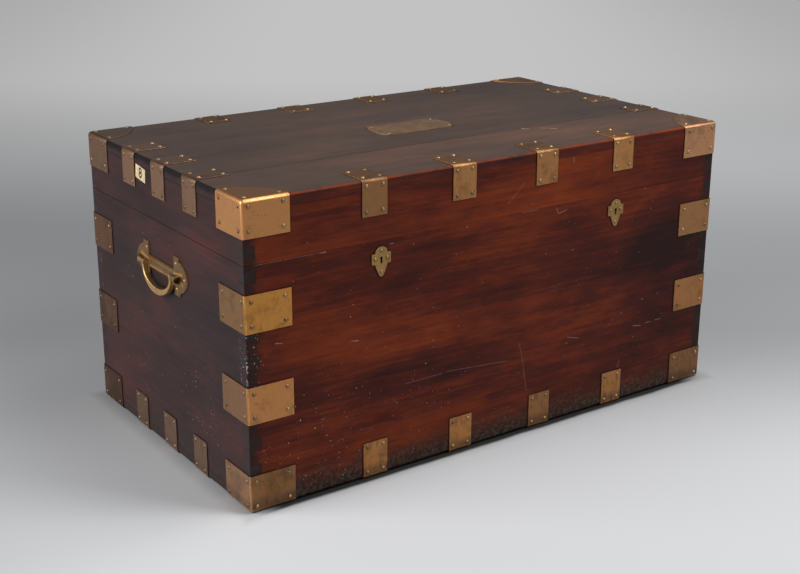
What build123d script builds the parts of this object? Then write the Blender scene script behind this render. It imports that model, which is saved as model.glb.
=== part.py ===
from build123d import *

import math
import os

# A brass-bound dovetailed sea chest: a deep box and a deep hinged lid, with corner caps,
# edge straps and corner angles pinned on, two chest locks and two lifting handles.
# Millimetres. The origin is at the middle of the plane that the chest stands on,
# +X runs along the length to the right, +Y to the back and +Z up.

# ---- Carcase -------------------------------------------------------------------------
LENGTH = 917.0  # wood, end to end
DEPTH = 523.0  # wood, front to back
BASE_WALL_H = 358.0  # wall boards of the base
LID_RAIL_H = 75.0  # rails of the lid
WALL_T = 18.0  # wall boards and rails
TOP_T = 18.0  # boards of the lid's top
BOTTOM_T = 16.0  # boards of the bottom
TOP_FRONT_BOARD = 145.0  # width of the narrow front board of the top
BOTTOM_FRONT_BOARD = 248.0  # width of the front board of the bottom
SEAM_GAP = 0.3  # air between base and lid when shut
ARRIS_R = 5.0  # rounding of the wood's edges round the top and the bottom
CORNER_R = 2.5  # rounding of its upright corners

# ---- Dovetails -----------------------------------------------------------------------
PIN_END = 16.0  # a dovetail pin's narrow end, on the outer face
PIN_SLOPE = 7.0  # the pin widens 1 in this
BASE_PIN_COUNT = 9
BASE_PIN_TOP = 16.5  # first pin's middle under the wall's top edge
BASE_PIN_FOOT = 7.5  # last pin's middle over the wall's bottom edge
LID_PIN_COUNT = 2
LID_PIN_TOP = 15.8
LID_PIN_FOOT = 17.5

# ---- Brass binding -------------------------------------------------------------------
BRASS_T = 1.5
CAP_LEAF = 75.4  # a corner piece's leaf along the face, from the outer corner
CAP_H = 56.4  # lid cap, down the face
CAP_REACH = 71.6  # corner to the curved edge of a cap's flat leaf, on the diagonal
FOOT_CAP_H = 59.3  # bottom cap, up the face
ANGLE_H = 57.0  # corner angles between lid and foot
ANGLES_UP = 2  # angles on each corner of the base
ANGLE_TOP_CLEAR = 42.0  # upper angle to the seam
STRAP_W = 43.5
STRAP_LEAF = 56.4  # both leaves of a lid strap, from the outer edge
FOOT_STRAP_H = 59.3  # face leaf of a bottom strap
LONG_STRAP_COUNT = 4  # along front and back
END_STRAP_COUNT = 3  # along each end
PIN_INSET = 10.5  # binding pins from the edges of caps and angles, and from bends
STRAP_PIN_INSET = 7.5  # binding pins from the free edges of straps

# ---- Round-headed brass pins ---------------------------------------------------------
HEAD_D = 6.2
HEAD_H = 1.6
SHANK_D = 2.4
PINS_APART = 1.3  # between the shanks of two pins that meet round a corner
PIN_FIT = 0.05  # radial room of a shank in its hole
HOLE_TIP = 0.3  # depth left under a shank's tip

# ---- Countersunk screws --------------------------------------------------------------
SCREW_HEAD_D = 6.6
SCREW_CONE_H = 1.9
SCREW_D = 3.2
SCREW_L = 13.0

# ---- Escutcheons ---------------------------------------------------------------------
LOCK_INSET = 225.7  # lock's middle from the end of the chest
SHIELD_DROP = 9.4  # top of the shield under the base's top edge
SHIELD_W = 33.4
SHIELD_H = 45.7
SHIELD_ARCH_W = 21.9
SHIELD_ARCH_H = 9.8
SHIELD_EAR_H = 16.7
SHIELD_FLANK = 7.7  # half the width halfway down the tapered part
SHIELD_TIP_R = 3.6
SHIELD_PIN_TOP = 6.3  # top pin under the top of the shield
SHIELD_PIN_TIP = 6.9  # lowest pin over its tip
SHIELD_PIN_EAR = 6.1  # side pins from the edges of the ears
KEY_DROP = 17.5  # key's axis under the top of the shield
KEY_ROUND_R = 2.3
KEY_SLOT_W = 3.0
KEY_SLOT_H = 8.1  # slot's end under the key's axis

# ---- Chest locks ---------------------------------------------------------------------
LOCK_H = 46.0
LOCK_WALL = 1.5
LOCK_SKIN = 0.6  # wood between the lock and the tips of the escutcheon's pins
LOCK_END_ROOM = 4.2  # bolt's end to the end of the case, thrown or drawn back
LEDGE_X = 15.2  # start of the bolt's runners from the lock's middle
SELVEDGE_OVER = 14.0  # plate in the board's top edge, past the ends of the case
SELVEDGE_T = 2.4
LINK_L = 82.0  # plate let into the lid's front rail
STAPLE_X = 17.0  # staples each side of the lock's middle
STAPLE_T = 3.0
STAPLE_W = 7.0
STAPLE_DROP = 13.0
STAPLE_RING = 1.5  # metal round a staple's eye
BOLT_T = 3.0
BOLT_BAR_H = 6.0
BOLT_FINGER_H = 4.4
BOLT_POST_W = 5.0
BOLT_THROW = 8.0
LOCK_RUN = 0.4  # running room of the bolt and the staples
TALON_R = 3.2  # notch that the key's bit turns in
DRILL_PIN_D = 2.4
LOCK_FIT = 0.1  # room round fittings let into wood

# ---- Butt hinges ---------------------------------------------------------------------
HINGE_INSET = 175.0  # hinge's middle from the end of the chest
HINGE_L = 76.0
HINGE_LEAF_W = 16.0
HINGE_LEAF_T = 2.4
KNUCKLES = 5
KNUCKLE_R = 4.5
KNUCKLE_GAP = 0.4
KNUCKLE_STAND = 0.4  # barrel clear of the back face
HINGE_PIN_R = 2.2
HINGE_RUN = 0.05  # radial room of the hinge pin
HINGE_SCREWS = 4

# ---- Plate on the lid ----------------------------------------------------------------
PLATE_L = 148.0
PLATE_W = 74.0
PLATE_BOW = 13.0  # how far its ends bow out
PLATE_EASE = 12.0  # radius of its eased corners
PLATE_SHIFT = -5.0  # plate's middle from the middle of the lid
PLATE_PIN_DROP = 10.0  # pins from the straight edges, in line with the starts of the bows

# ---- Number tag on the left end of the lid -------------------------------------------
TAG_W = 34.0
TAG_H = 22.0
TAG_T = 0.5
TAG_CLEAR = 2.4  # tag to the last strap of the end
TAG_DROP = 29.0  # tag's middle under the top of the wood
TAG_TILT = -7.0
TAG_CORNER_R = 1.0

# ---- Lifting handles -----------------------------------------------------------------
HANDLE_DROP = 70.8  # handle's middle under the base's top edge
GRIP_PLATE_T = 2.2
WING_HALF_H = 30.2  # a wing's lugs, up and down
WING_LAP = 5.5  # wing's inner edge inside the bail's outer face
LUG_W = 17.0
LUG_STEP = (4.0, 6.5)  # from a lug's corner to the start of the curved edge
WING_L = 44.0  # inner edge to the point
WING_BOW = 3.6  # how far the curved edges bow out
BAR_HALF_H = 8.4
BAR_RIM_W = 1.8
BAR_RIM_H = 1.0
BAR_RIM_CLEAR = 3.0  # rims to the wings
PIVOT_DROP = 1.3  # bail's axis under the handle's middle
EYE_CLEAR = 0.4  # bail's eyes to the plate
HOOD_NECK_R = 4.8  # a hood widens from its neck beside the bail
HOOD_FOOT_R = 8.0  # to its foot on the plate
HOOD_WALL = 1.3
HOOD_BLOCK = 5.0  # solid part that the bail turns in
HOOD_L = 10.4  # length along its top
HOOD_FLARE = 13.0  # how much further it reaches along the plate
WING_PIN_IN = 7.5  # lug pins from the wing's inner edge
WING_PIN_DROP = 10.2  # lug pins from the ends of the lugs
NOSE_PIN_IN = 10.0  # last pin from the wing's point
BAIL_HALF_W = 49.5
BAIL_ARM_W = 4.6
BAIL_T = 9.0
BAIL_FLAT = 0.8  # left flat between the roundings of an arm
BAIL_STRAIGHT = 2.0  # straight part of an arm under its eye
BAIL_DROP = 39.6  # axis to the underside of the grip
GRIP_H = 11.0
EYE_PROUD = 0.5  # eyes past the arms' faces
BAIL_RUN = 0.6  # arm to hood
TRUNNION_R = 3.0
TRUNNION_L = 7.0
TRUNNION_FIT = 0.06
BAIL_LEAN = 3.0  # degrees that the bail leans out when it hangs on its stop

# ---- Heights and faces that follow ---------------------------------------------------
FLOOR_LOW = BRASS_T
WALL_FOOT = FLOOR_LOW + BOTTOM_T
BASE_TOP = WALL_FOOT + BASE_WALL_H
LID_FOOT = BASE_TOP + SEAM_GAP
RAIL_TOP = LID_FOOT + LID_RAIL_H
WOOD_TOP = RAIL_TOP + TOP_T
BRASS_TOP = WOOD_TOP + BRASS_T
SEAM = BASE_TOP + SEAM_GAP / 2

SHANK_L = PIN_INSET - SHANK_D / 2 - PINS_APART
LOCK_D = WALL_T + BRASS_T - SHANK_L - HOLE_TIP - LOCK_SKIN

HALF_L = LENGTH / 2
HALF_D = DEPTH / 2
FACE_X = HALF_L + BRASS_T
FACE_Y = HALF_D + BRASS_T
LOCK_X = HALF_L - LOCK_INSET
HINGE_X = HALF_L - HINGE_INSET
HINGE_Y = HALF_D + KNUCKLE_STAND + KNUCKLE_R
SHIELD_TOP = BASE_TOP - SHIELD_DROP
HANDLE_Z = BASE_TOP - HANDLE_DROP
PLATE_HALF_EDGE = PLATE_L / 2 - PLATE_BOW
BAIL_EYE_R = BAIL_T / 2 + EYE_PROUD
PIVOT_OUT = GRIP_PLATE_T + EYE_CLEAR + BAIL_EYE_R  # bail's axis from the wood
WING_IN = BAIL_HALF_W - WING_LAP
HOOD_IN = BAIL_HALF_W + BAIL_RUN
HOOD_APEX = HOOD_IN + HOOD_L
HOOD_FOOT = HOOD_APEX + HOOD_FLARE
MARGIN = 5.0  # how far cutting shapes run past what they cut

SIDES = {"left": -1, "right": 1}
ENDS = {"front": -1, "back": 1}
UP = (0, 0, 1)
DOWN = (0, 0, -1)


# ---- Helpers -------------------------------------------------------------------------
def block(x, y, z):
    """A box between two values on each axis, given in either order."""
    spans = [sorted(span) for span in (x, y, z)]
    middle = [(low + high) / 2 for low, high in spans]
    return Pos(*middle) * Box(*[high - low for low, high in spans])


def boxes_meet(a, b):
    """Whether two bounding boxes overlap."""
    return (
        min(a.max.X, b.max.X) > max(a.min.X, b.min.X)
        and min(a.max.Y, b.max.Y) > max(a.min.Y, b.min.Y)
        and min(a.max.Z, b.max.Z) > max(a.min.Z, b.min.Z)
    )


def cut_by(piece, tools):
    """The piece less those of the tools that reach it."""
    box = piece.bounding_box()
    near = [tool for tool in tools if boxes_meet(box, tool.bounding_box())]
    return piece - near if near else piece


def on_face(x, y, z, normal):
    """A place on a face, with local Z out of the face."""
    return Plane(origin=(x, y, z), z_dir=normal).location


def around_z(radius_height):
    """A solid of revolution about Z from its (radius, height) outline."""
    outline = Polyline(*[(r, 0, h) for r, h in radius_height], close=True)
    return revolve(make_face(outline), Axis.Z)


def save(name, solids):
    """Write one node from a list of shapes."""
    pieces = [solid for shape in solids for solid in shape.solids()]
    node = pieces[0] if len(pieces) == 1 else Compound(children=pieces)
    export_step(node, os.path.join("parts", name + ".step"))
    print(name, len(pieces))


# ---- Fasteners -----------------------------------------------------------------------
def round_head_pin():
    """A pin with a domed head that sits on Z = 0, shank down."""
    head_r = HEAD_D / 2
    ball_r = (head_r**2 + HEAD_H**2) / (2 * HEAD_H)
    dome = Pos(0, 0, HEAD_H - ball_r) * Sphere(ball_r)
    head = dome & Pos(0, 0, HEAD_H / 2) * Box(HEAD_D, HEAD_D, HEAD_H)
    shank = Pos(0, 0, -SHANK_L / 2) * Cylinder(SHANK_D / 2, SHANK_L)
    return (head + shank).solid()


def pin_drill():
    """What a pin's shank needs cut out of everything under its head."""
    depth = SHANK_L + HOLE_TIP
    return Pos(0, 0, -depth / 2) * Cylinder(SHANK_D / 2 + PIN_FIT, depth)


def countersunk_screw():
    """A wood screw with its flat head flush with Z = 0."""
    return around_z(
        [
            (0, 0),
            (SCREW_HEAD_D / 2, 0),
            (SCREW_D / 2, -SCREW_CONE_H),
            (SCREW_D / 2, -SCREW_L + SCREW_D / 2),
            (0, -SCREW_L),
        ]
    ).solid()


def screw_drill():
    """The countersink and hole for one screw."""
    r = SCREW_D / 2 + PIN_FIT
    return around_z(
        [
            (0, MARGIN),
            (SCREW_HEAD_D / 2 + PIN_FIT, MARGIN),
            (SCREW_HEAD_D / 2 + PIN_FIT, -PIN_FIT),
            (r, -SCREW_CONE_H - PIN_FIT),
            (r, -SCREW_L - HOLE_TIP),
            (0, -SCREW_L - HOLE_TIP),
        ]
    )


PIN = round_head_pin()
PIN_DRILL = pin_drill()
SCREW = countersunk_screw()
SCREW_DRILL = screw_drill()


def placed(shape, places):
    """Copies of a shape at a list of places."""
    return [place * shape for place in places]


# ---- Wood ----------------------------------------------------------------------------
def outline_block(grow):
    """The whole chest's rounded outline, grown by a thickness on every side."""
    x, y = HALF_L + grow, HALF_D + grow
    body = block((-x, x), (-y, y), (FLOOR_LOW - grow, WOOD_TOP + grow))
    rounded = fillet(body.edges().filter_by(Axis.Z), CORNER_R + grow)
    ends = rounded.faces().filter_by(Axis.Z)
    return fillet([edge for end in ends for edge in end.edges()], ARRIS_R + grow)


WOOD = outline_block(0)
BRASS_SKIN = outline_block(BRASS_T) - WOOD


def dovetail_pins(foot, top, count, from_top, from_foot):
    """The pins of all four corners between two heights, one solid each."""
    narrow = PIN_END / 2
    wide = narrow + WALL_T / PIN_SLOPE
    pitch = (top - foot - from_top - from_foot) / (count - 1)
    pins = []
    for sx in SIDES.values():
        outer, inner = sx * HALF_L, sx * (HALF_L - WALL_T)
        for sy in ENDS.values():
            for i in range(count):
                z = top - from_top - i * pitch
                wedge = Polyline(
                    (outer, z - narrow),
                    (outer, z + narrow),
                    (inner, z + wide),
                    (inner, z - wide),
                    close=True,
                )
                face = Plane.XZ.offset(-sy * (HALF_D - WALL_T / 2)) * make_face(wedge)
                pins.append(extrude(face, WALL_T / 2, both=True))
    return pins


def walls(foot, top, pins):
    """Front, back, left and right boards between two heights, dovetailed together."""
    boards = {}
    for name, sy in ENDS.items():
        raw = block((-HALF_L, HALF_L), (sy * (HALF_D - WALL_T), sy * HALF_D), (foot, top))
        boards[name] = cut_by(raw, pins) & WOOD
    between = HALF_D - WALL_T
    for name, sx in SIDES.items():
        x = (sx * (HALF_L - WALL_T), sx * HALF_L)
        full = block(x, (-HALF_D, HALF_D), (foot, top))
        own = [pin & full for pin in pins if boxes_meet(pin.bounding_box(), full.bounding_box())]
        boards[name] = (block(x, (-between, between), (foot, top)) + own) & WOOD
    return boards


def slab(foot, top, joint):
    """Two edge-jointed boards over the whole plan, the front one first."""
    front = block((-HALF_L, HALF_L), (-HALF_D, -HALF_D + joint), (foot, top))
    rear = block((-HALF_L, HALF_L), (-HALF_D + joint, HALF_D), (foot, top))
    return front & WOOD, rear & WOOD


# ---- Brass binding -------------------------------------------------------------------
def cap_region(sx, sy, low, high):
    """What a corner cap covers: two face leaves and a curved flat leaf."""
    bend = ARRIS_R + BRASS_T
    diagonal = CAP_REACH / math.sqrt(2)

    def at(u, v):
        return (sx * (FACE_X - u), sy * (FACE_Y - v))

    straight = Polyline(
        at(bend, CAP_LEAF),
        at(-MARGIN, CAP_LEAF),
        at(-MARGIN, -MARGIN),
        at(CAP_LEAF, -MARGIN),
        at(CAP_LEAF, bend),
    )
    sweep_edge = ThreePointArc(at(CAP_LEAF, bend), at(diagonal, diagonal), at(bend, CAP_LEAF))
    plan = make_face(straight + sweep_edge)
    return Pos(0, 0, low) * extrude(plan, high - low)


def corner_region(sx, sy, low, high):
    """What a corner angle covers."""
    x = (sx * (FACE_X - CAP_LEAF), sx * (FACE_X + MARGIN))
    y = (sy * (FACE_Y - CAP_LEAF), sy * (FACE_Y + MARGIN))
    return block(x, y, (low, high))


def spread(count, width, span):
    """Middles of equal pieces with equal gaps between two corner leaves."""
    gap = (span - 2 * CAP_LEAF - count * width) / (count + 1)
    return [(i - (count - 1) / 2) * (width + gap) for i in range(count)]


LONG_STRAP_X = spread(LONG_STRAP_COUNT, STRAP_W, 2 * FACE_X)
END_STRAP_Y = spread(END_STRAP_COUNT, STRAP_W, 2 * FACE_Y)


def strap_regions(low, high):
    """What the straps cover: front and back first, then the two ends."""
    half = STRAP_W / 2
    y_span = (FACE_Y - STRAP_LEAF, FACE_Y + MARGIN)
    x_span = (FACE_X - STRAP_LEAF, FACE_X + MARGIN)
    long_ones = [
        block((x - half, x + half), [sy * y for y in y_span], (low, high))
        for sy in ENDS.values()
        for x in LONG_STRAP_X
    ]
    end_ones = [
        block([sx * x for x in x_span], (y - half, y + half), (low, high))
        for sx in SIDES.values()
        for y in END_STRAP_Y
    ]
    return long_ones, end_ones


def corner_leaf_places(sx, sy, low, high):
    """Pin places on the two face leaves of a corner piece."""
    near, far = PIN_INSET, CAP_LEAF - PIN_INSET
    places = []
    for z in (low + PIN_INSET, high - PIN_INSET):
        for along in (near, far):
            places.append(on_face(sx * (FACE_X - along), sy * FACE_Y, z, (0, sy, 0)))
            places.append(on_face(sx * FACE_X, sy * (FACE_Y - along), z, (sx, 0, 0)))
    return places


def cap_flat_places(sx, sy, z, normal):
    """Pin places on the flat leaf of a corner cap."""
    near, far = PIN_INSET, CAP_LEAF - PIN_INSET
    spots = [(near, near), (near, far), (far, near)]
    return [on_face(sx * (FACE_X - u), sy * (FACE_Y - v), z, normal) for u, v in spots]


def strap_lines():
    """Where the straps' lines of pins start on the outer faces: x, y and the outward normal."""
    reach = STRAP_W / 2 - STRAP_PIN_INSET
    lines = []
    for sy in ENDS.values():
        lines += [(x + dx, sy * FACE_Y, (0, sy, 0)) for x in LONG_STRAP_X for dx in (-reach, reach)]
    for sx in SIDES.values():
        lines += [(sx * FACE_X, y + dy, (sx, 0, 0)) for y in END_STRAP_Y for dy in (-reach, reach)]
    return lines


def strap_face_places(heights):
    """Pin places on the upright leaves of all the straps along one rim."""
    return [on_face(x, y, z, out) for x, y, out in strap_lines() for z in heights]


def strap_flat_places():
    """Pin places on the leaves of the lid straps that lie on the top."""
    insets = (PIN_INSET, STRAP_LEAF - STRAP_PIN_INSET)
    return [
        on_face(x - inset * out[0], y - inset * out[1], BRASS_TOP, UP)
        for x, y, out in strap_lines()
        for inset in insets
    ]


def angle_levels():
    """Foot and top of each corner angle, from the lowest."""
    room = BASE_TOP - ANGLE_TOP_CLEAR - FOOT_CAP_H
    step = room / ANGLES_UP
    return [(FOOT_CAP_H + (i + 1) * step - ANGLE_H, FOOT_CAP_H + (i + 1) * step) for i in range(ANGLES_UP)]


# ---- Escutcheon, lid plate and tag ---------------------------------------------------
def shield_outline():
    """The escutcheon's outline, with its top at the local origin."""
    arch, ear = SHIELD_ARCH_W / 2, SHIELD_W / 2
    shoulder = -SHIELD_ARCH_H
    ear_foot = shoulder - SHIELD_EAR_H
    taper_end = (SHIELD_TIP_R, -SHIELD_H + SHIELD_TIP_R / 2)
    bulge = (SHIELD_FLANK, (ear_foot + taper_end[1]) / 2)
    arch_side = (arch * math.sin(math.pi / 4), shoulder * (1 - math.cos(math.pi / 4)))
    right = (
        ThreePointArc((0, 0), arch_side, (arch, shoulder))
        + Line((arch, shoulder), (ear, shoulder))
        + Line((ear, shoulder), (ear, ear_foot))
        + Line((ear, ear_foot), (arch, ear_foot))
        + ThreePointArc((arch, ear_foot), bulge, taper_end)
    )
    tip = ThreePointArc(taper_end, (0, -SHIELD_H), (-taper_end[0], taper_end[1]))
    return make_face(right + tip + mirror(right, Plane.YZ))


def keyhole(depth):
    """A keyhole about the key's axis, cut along local Z."""
    bow = Circle(KEY_ROUND_R)
    slot = Pos(0, -KEY_SLOT_H / 2) * Rectangle(KEY_SLOT_W, KEY_SLOT_H)
    return extrude(bow + slot, depth, both=True)


def shield_places(cx):
    """Pin places on one escutcheon."""
    side_x = SHIELD_W / 2 - SHIELD_PIN_EAR
    side_drop = SHIELD_ARCH_H + SHIELD_EAR_H / 2
    spots = [
        (0, SHIELD_PIN_TOP),
        (-side_x, side_drop),
        (side_x, side_drop),
        (0, SHIELD_H - SHIELD_PIN_TIP),
    ]
    return [on_face(cx + x, -FACE_Y, SHIELD_TOP - drop, (0, -1, 0)) for x, drop in spots]


def escutcheon(cx):
    """One pierced escutcheon on the front of the base."""
    front = Plane(origin=(cx, -HALF_D, SHIELD_TOP), x_dir=(1, 0, 0), z_dir=(0, -1, 0))
    plate = front * extrude(shield_outline(), BRASS_T)
    return cut_by(plate, [key_cut(cx)])


def key_cut(cx):
    """The keyhole right through the front board at one lock."""
    axis = Plane(
        origin=(cx, -HALF_D, SHIELD_TOP - KEY_DROP), x_dir=(1, 0, 0), z_dir=(0, -1, 0)
    )
    return axis * keyhole(WALL_T - LOCK_D + LOCK_RUN)


def lid_plate():
    """The blank plate on the lid: straight long edges, bowed ends, eased corners."""
    x, y = PLATE_HALF_EDGE, PLATE_W / 2
    outline = (
        Line((-x, -y), (x, -y))
        + ThreePointArc((x, -y), (PLATE_L / 2, 0), (x, y))
        + Line((x, y), (-x, y))
        + ThreePointArc((-x, y), (-PLATE_L / 2, 0), (-x, -y))
    )
    face = make_face(outline)
    face = fillet(face.vertices(), PLATE_EASE)
    return Pos(0, PLATE_SHIFT, WOOD_TOP) * extrude(face, BRASS_T)


def lid_plate_places():
    """Pin places on the lid's plate."""
    x, y = PLATE_HALF_EDGE, PLATE_W / 2 - PLATE_PIN_DROP
    return [
        on_face(sx * x, PLATE_SHIFT + sy * y, BRASS_TOP, UP)
        for sx in SIDES.values()
        for sy in ENDS.values()
    ]


def number_tag():
    """The small tag glued on the left end of the lid."""
    tilt = math.radians(abs(TAG_TILT))
    reach = (TAG_W * math.cos(tilt) + TAG_H * math.sin(tilt)) / 2
    y = END_STRAP_Y[-1] - STRAP_W / 2 - TAG_CLEAR - reach
    end = Plane(origin=(-HALF_L, y, WOOD_TOP - TAG_DROP), x_dir=(0, -1, 0), z_dir=(-1, 0, 0))
    return end * Rot(0, 0, TAG_TILT) * extrude(RectangleRounded(TAG_W, TAG_H, TAG_CORNER_R), TAG_T)


# ---- Locks ---------------------------------------------------------------------------
LOCK_BACK = -HALF_D + WALL_T  # inner face of the front board
LOCK_MID = LOCK_BACK - LOCK_D / 2
STAPLE_LOW = BASE_TOP - STAPLE_DROP
FINGER_Z = STAPLE_LOW + STAPLE_RING + LOCK_RUN + BOLT_FINGER_H / 2
BAR_TOP = STAPLE_LOW - LOCK_RUN
BAR_LOW = BAR_TOP - BOLT_BAR_H
FINGER_TIP = STAPLE_T / 2 + LOCK_RUN  # finger's tip to a staple's middle, bolt drawn back
FINGER_L = BOLT_THROW + LOCK_RUN
BAR_LEFT = -STAPLE_X - FINGER_TIP - FINGER_L - BOLT_POST_W
BAR_RIGHT = -BAR_LEFT - BOLT_THROW
LOCK_W = 2 * (LOCK_END_ROOM + LOCK_WALL - BAR_LEFT)
SELVEDGE_L = LOCK_W + 2 * SELVEDGE_OVER


def staple_slots(cx, room):
    """Upright slots for both staples, from their feet to past the seam."""
    half_t, half_w = STAPLE_T / 2 + room, STAPLE_W / 2 + room
    return [
        block(
            (cx + s * STAPLE_X - half_t, cx + s * STAPLE_X + half_t),
            (LOCK_MID - half_w, LOCK_MID + half_w),
            (STAPLE_LOW - room, LID_FOOT + SELVEDGE_T),
        )
        for s in SIDES.values()
    ]


def lock_case(cx):
    """The lock's case and selvedge, open towards the wood."""
    half = LOCK_W / 2
    top = BASE_TOP - SELVEDGE_T
    low = BASE_TOP - LOCK_H
    front = LOCK_BACK - LOCK_D
    case = block((cx - half, cx + half), (front, LOCK_BACK), (low, top))
    case -= block(
        (cx - half + LOCK_WALL, cx + half - LOCK_WALL),
        (front - MARGIN, LOCK_BACK - LOCK_WALL),
        (low + LOCK_WALL, top),
    )
    case += block(
        (cx - SELVEDGE_L / 2, cx + SELVEDGE_L / 2),
        (front, LOCK_BACK),
        (top, BASE_TOP),
    )
    ledge_y = (LOCK_MID - BOLT_T / 2, LOCK_BACK - LOCK_WALL)
    ledge_z = (BAR_LOW - LOCK_RUN - LOCK_WALL, BAR_LOW - LOCK_RUN)
    for s in SIDES.values():
        span = (cx + s * LEDGE_X, cx + s * (half - LOCK_WALL))
        case += block(span, ledge_y, ledge_z)
    drill = Plane(
        origin=(cx, LOCK_BACK - LOCK_WALL, SHIELD_TOP - KEY_DROP), z_dir=(0, -1, 0)
    )
    case += drill * Pos(0, 0, LOCK_D / 4) * Cylinder(DRILL_PIN_D / 2, LOCK_D / 2)
    return cut_by(case, staple_slots(cx, LOCK_RUN))


def lock_bolt(cx):
    """The sliding bolt, drawn back: a bar with two hooked fingers and the key's notch."""
    y = (LOCK_MID - BOLT_T / 2, LOCK_MID + BOLT_T / 2)
    bolt = block((cx + BAR_LEFT, cx + BAR_RIGHT), y, (BAR_LOW, BAR_TOP))
    finger_z = (FINGER_Z - BOLT_FINGER_H / 2, FINGER_Z + BOLT_FINGER_H / 2)
    for s in SIDES.values():
        tip = cx + s * STAPLE_X - FINGER_TIP
        post = (tip - FINGER_L - BOLT_POST_W, tip - FINGER_L)
        bolt += block(post, y, (BAR_LOW, finger_z[1]))
        bolt += block((post[0], tip), y, finger_z)
    talon = Plane(origin=(cx, LOCK_MID, BAR_LOW), z_dir=(0, -1, 0))
    return bolt - talon * Cylinder(TALON_R, BOLT_T + MARGIN)


def link_plate(cx):
    """The plate under the lid's front rail, with two eyed staples."""
    plate = block(
        (cx - LINK_L / 2, cx + LINK_L / 2),
        (LOCK_BACK - LOCK_D, LOCK_BACK),
        (LID_FOOT, LID_FOOT + SELVEDGE_T),
    )
    for staple in staple_slots(cx, 0):
        plate += staple
    eye_z = (STAPLE_LOW + STAPLE_RING, FINGER_Z + BOLT_FINGER_H / 2 + LOCK_RUN)
    eye_y = (LOCK_MID - BOLT_T / 2 - LOCK_RUN, LOCK_MID + BOLT_T / 2 + LOCK_RUN)
    return plate - block((cx - LINK_L / 2, cx + LINK_L / 2), eye_y, eye_z)


def lock_mortises(cx):
    """What one lock needs cut out of the base's front board."""
    front = LOCK_BACK - LOCK_D - LOCK_FIT
    case = (LOCK_W / 2 + LOCK_FIT, BASE_TOP - LOCK_H - LOCK_FIT)
    selvedge = (SELVEDGE_L / 2 + LOCK_FIT, BASE_TOP - SELVEDGE_T)
    cuts = [
        block((cx - half, cx + half), (front, LOCK_BACK + MARGIN), (low, BASE_TOP + MARGIN))
        for half, low in (case, selvedge)
    ]
    return cuts + [key_cut(cx)]


def link_mortise(cx):
    """What one link plate needs cut out of the lid's front rail."""
    half = LINK_L / 2 + LOCK_FIT
    y = (LOCK_BACK - LOCK_D - LOCK_FIT, LOCK_BACK + MARGIN)
    return block((cx - half, cx + half), y, (LID_FOOT - MARGIN, LID_FOOT + SELVEDGE_T))


def lock_screw_places(cx):
    """Screws down through the ends of one selvedge."""
    reach = (SELVEDGE_L + LOCK_W) / 4
    return [on_face(cx + s * reach, LOCK_MID, BASE_TOP, UP) for s in SIDES.values()]


def link_screw_places(cx):
    """Screws up through the ends of one link plate."""
    reach = LINK_L / 2 - SCREW_HEAD_D
    return [on_face(cx + s * reach, LOCK_MID, LID_FOOT, DOWN) for s in SIDES.values()]


# ---- Hinges --------------------------------------------------------------------------
def hinge_leaf(cx, z, knuckles):
    """One leaf between two heights, with its own share of the barrel."""
    left = cx - HINGE_L / 2
    width = HINGE_L / KNUCKLES
    leaf = block((left, left + HINGE_L), (HALF_D - HINGE_LEAF_W, HALF_D), z)
    bore = Pos(cx, HINGE_Y, SEAM) * Rot(0, 90, 0) * Cylinder(HINGE_PIN_R + HINGE_RUN, HINGE_L + MARGIN)
    for i in knuckles:
        span = (left + i * width + KNUCKLE_GAP / 2, left + (i + 1) * width - KNUCKLE_GAP / 2)
        middle = Pos(sum(span) / 2, HINGE_Y, SEAM)
        leaf += block(span, (HALF_D - HINGE_LEAF_W / 2, HINGE_Y), z)
        leaf += middle * Rot(0, 90, 0) * Cylinder(KNUCKLE_R, span[1] - span[0])
    return leaf - bore


def hinge_mortise(cx, z):
    """The recess that one leaf lies in."""
    half = HINGE_L / 2 + LOCK_FIT
    return block((cx - half, cx + half), (HALF_D - HINGE_LEAF_W - LOCK_FIT, HALF_D + MARGIN), z)


def hinge_pin(cx):
    """The pin through the barrel."""
    return Pos(cx, HINGE_Y, SEAM) * Rot(0, 90, 0) * Cylinder(HINGE_PIN_R, HINGE_L)


def hinge_screw_places(cx, z, normal):
    """A row of screws along one leaf."""
    step = HINGE_L / HINGE_SCREWS
    y = HALF_D - HINGE_LEAF_W / 2
    first = cx - HINGE_L / 2 + step / 2
    return [on_face(first + i * step, y, z, normal) for i in range(HINGE_SCREWS)]


# ---- Handles -------------------------------------------------------------------------
# Local frame of a handle: u along the chest's end, v up and h out of the wood.
def handle_frame(sx):
    """The local frame of the handle on one end."""
    return Plane(origin=(sx * HALF_L, 0, HANDLE_Z), x_dir=(0, sx, 0), z_dir=(sx, 0, 0))


def wing_face():
    """The right-hand bat-wing end of the handle's plate."""
    top = WING_HALF_H
    lug = WING_IN + LUG_W
    shoulder_u, shoulder_v = lug + LUG_STEP[0], top - LUG_STEP[1]
    nose = WING_IN + WING_L
    reach = math.hypot(nose - shoulder_u, shoulder_v)
    bow_u = (shoulder_u + nose) / 2 + WING_BOW * shoulder_v / reach
    bow_v = shoulder_v / 2 + WING_BOW * (nose - shoulder_u) / reach
    upper = (
        Line((WING_IN, 0), (WING_IN, top))
        + Line((WING_IN, top), (lug, top))
        + Line((lug, top), (lug, shoulder_v))
        + Line((lug, shoulder_v), (shoulder_u, shoulder_v))
        + ThreePointArc((shoulder_u, shoulder_v), (bow_u, bow_v), (nose, 0))
    )
    return make_face(upper + mirror(upper, Plane.XZ))


def arch_face(radius, foot):
    """A round-topped arch about the bail's axis, standing at a height over the wood."""
    crown = Circle(radius) & Pos(0, radius) * Rectangle(2 * radius, 2 * radius)
    upright = Pos(0, (foot - PIVOT_OUT) / 2) * Rectangle(2 * radius, PIVOT_OUT - foot)
    return crown + upright


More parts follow.
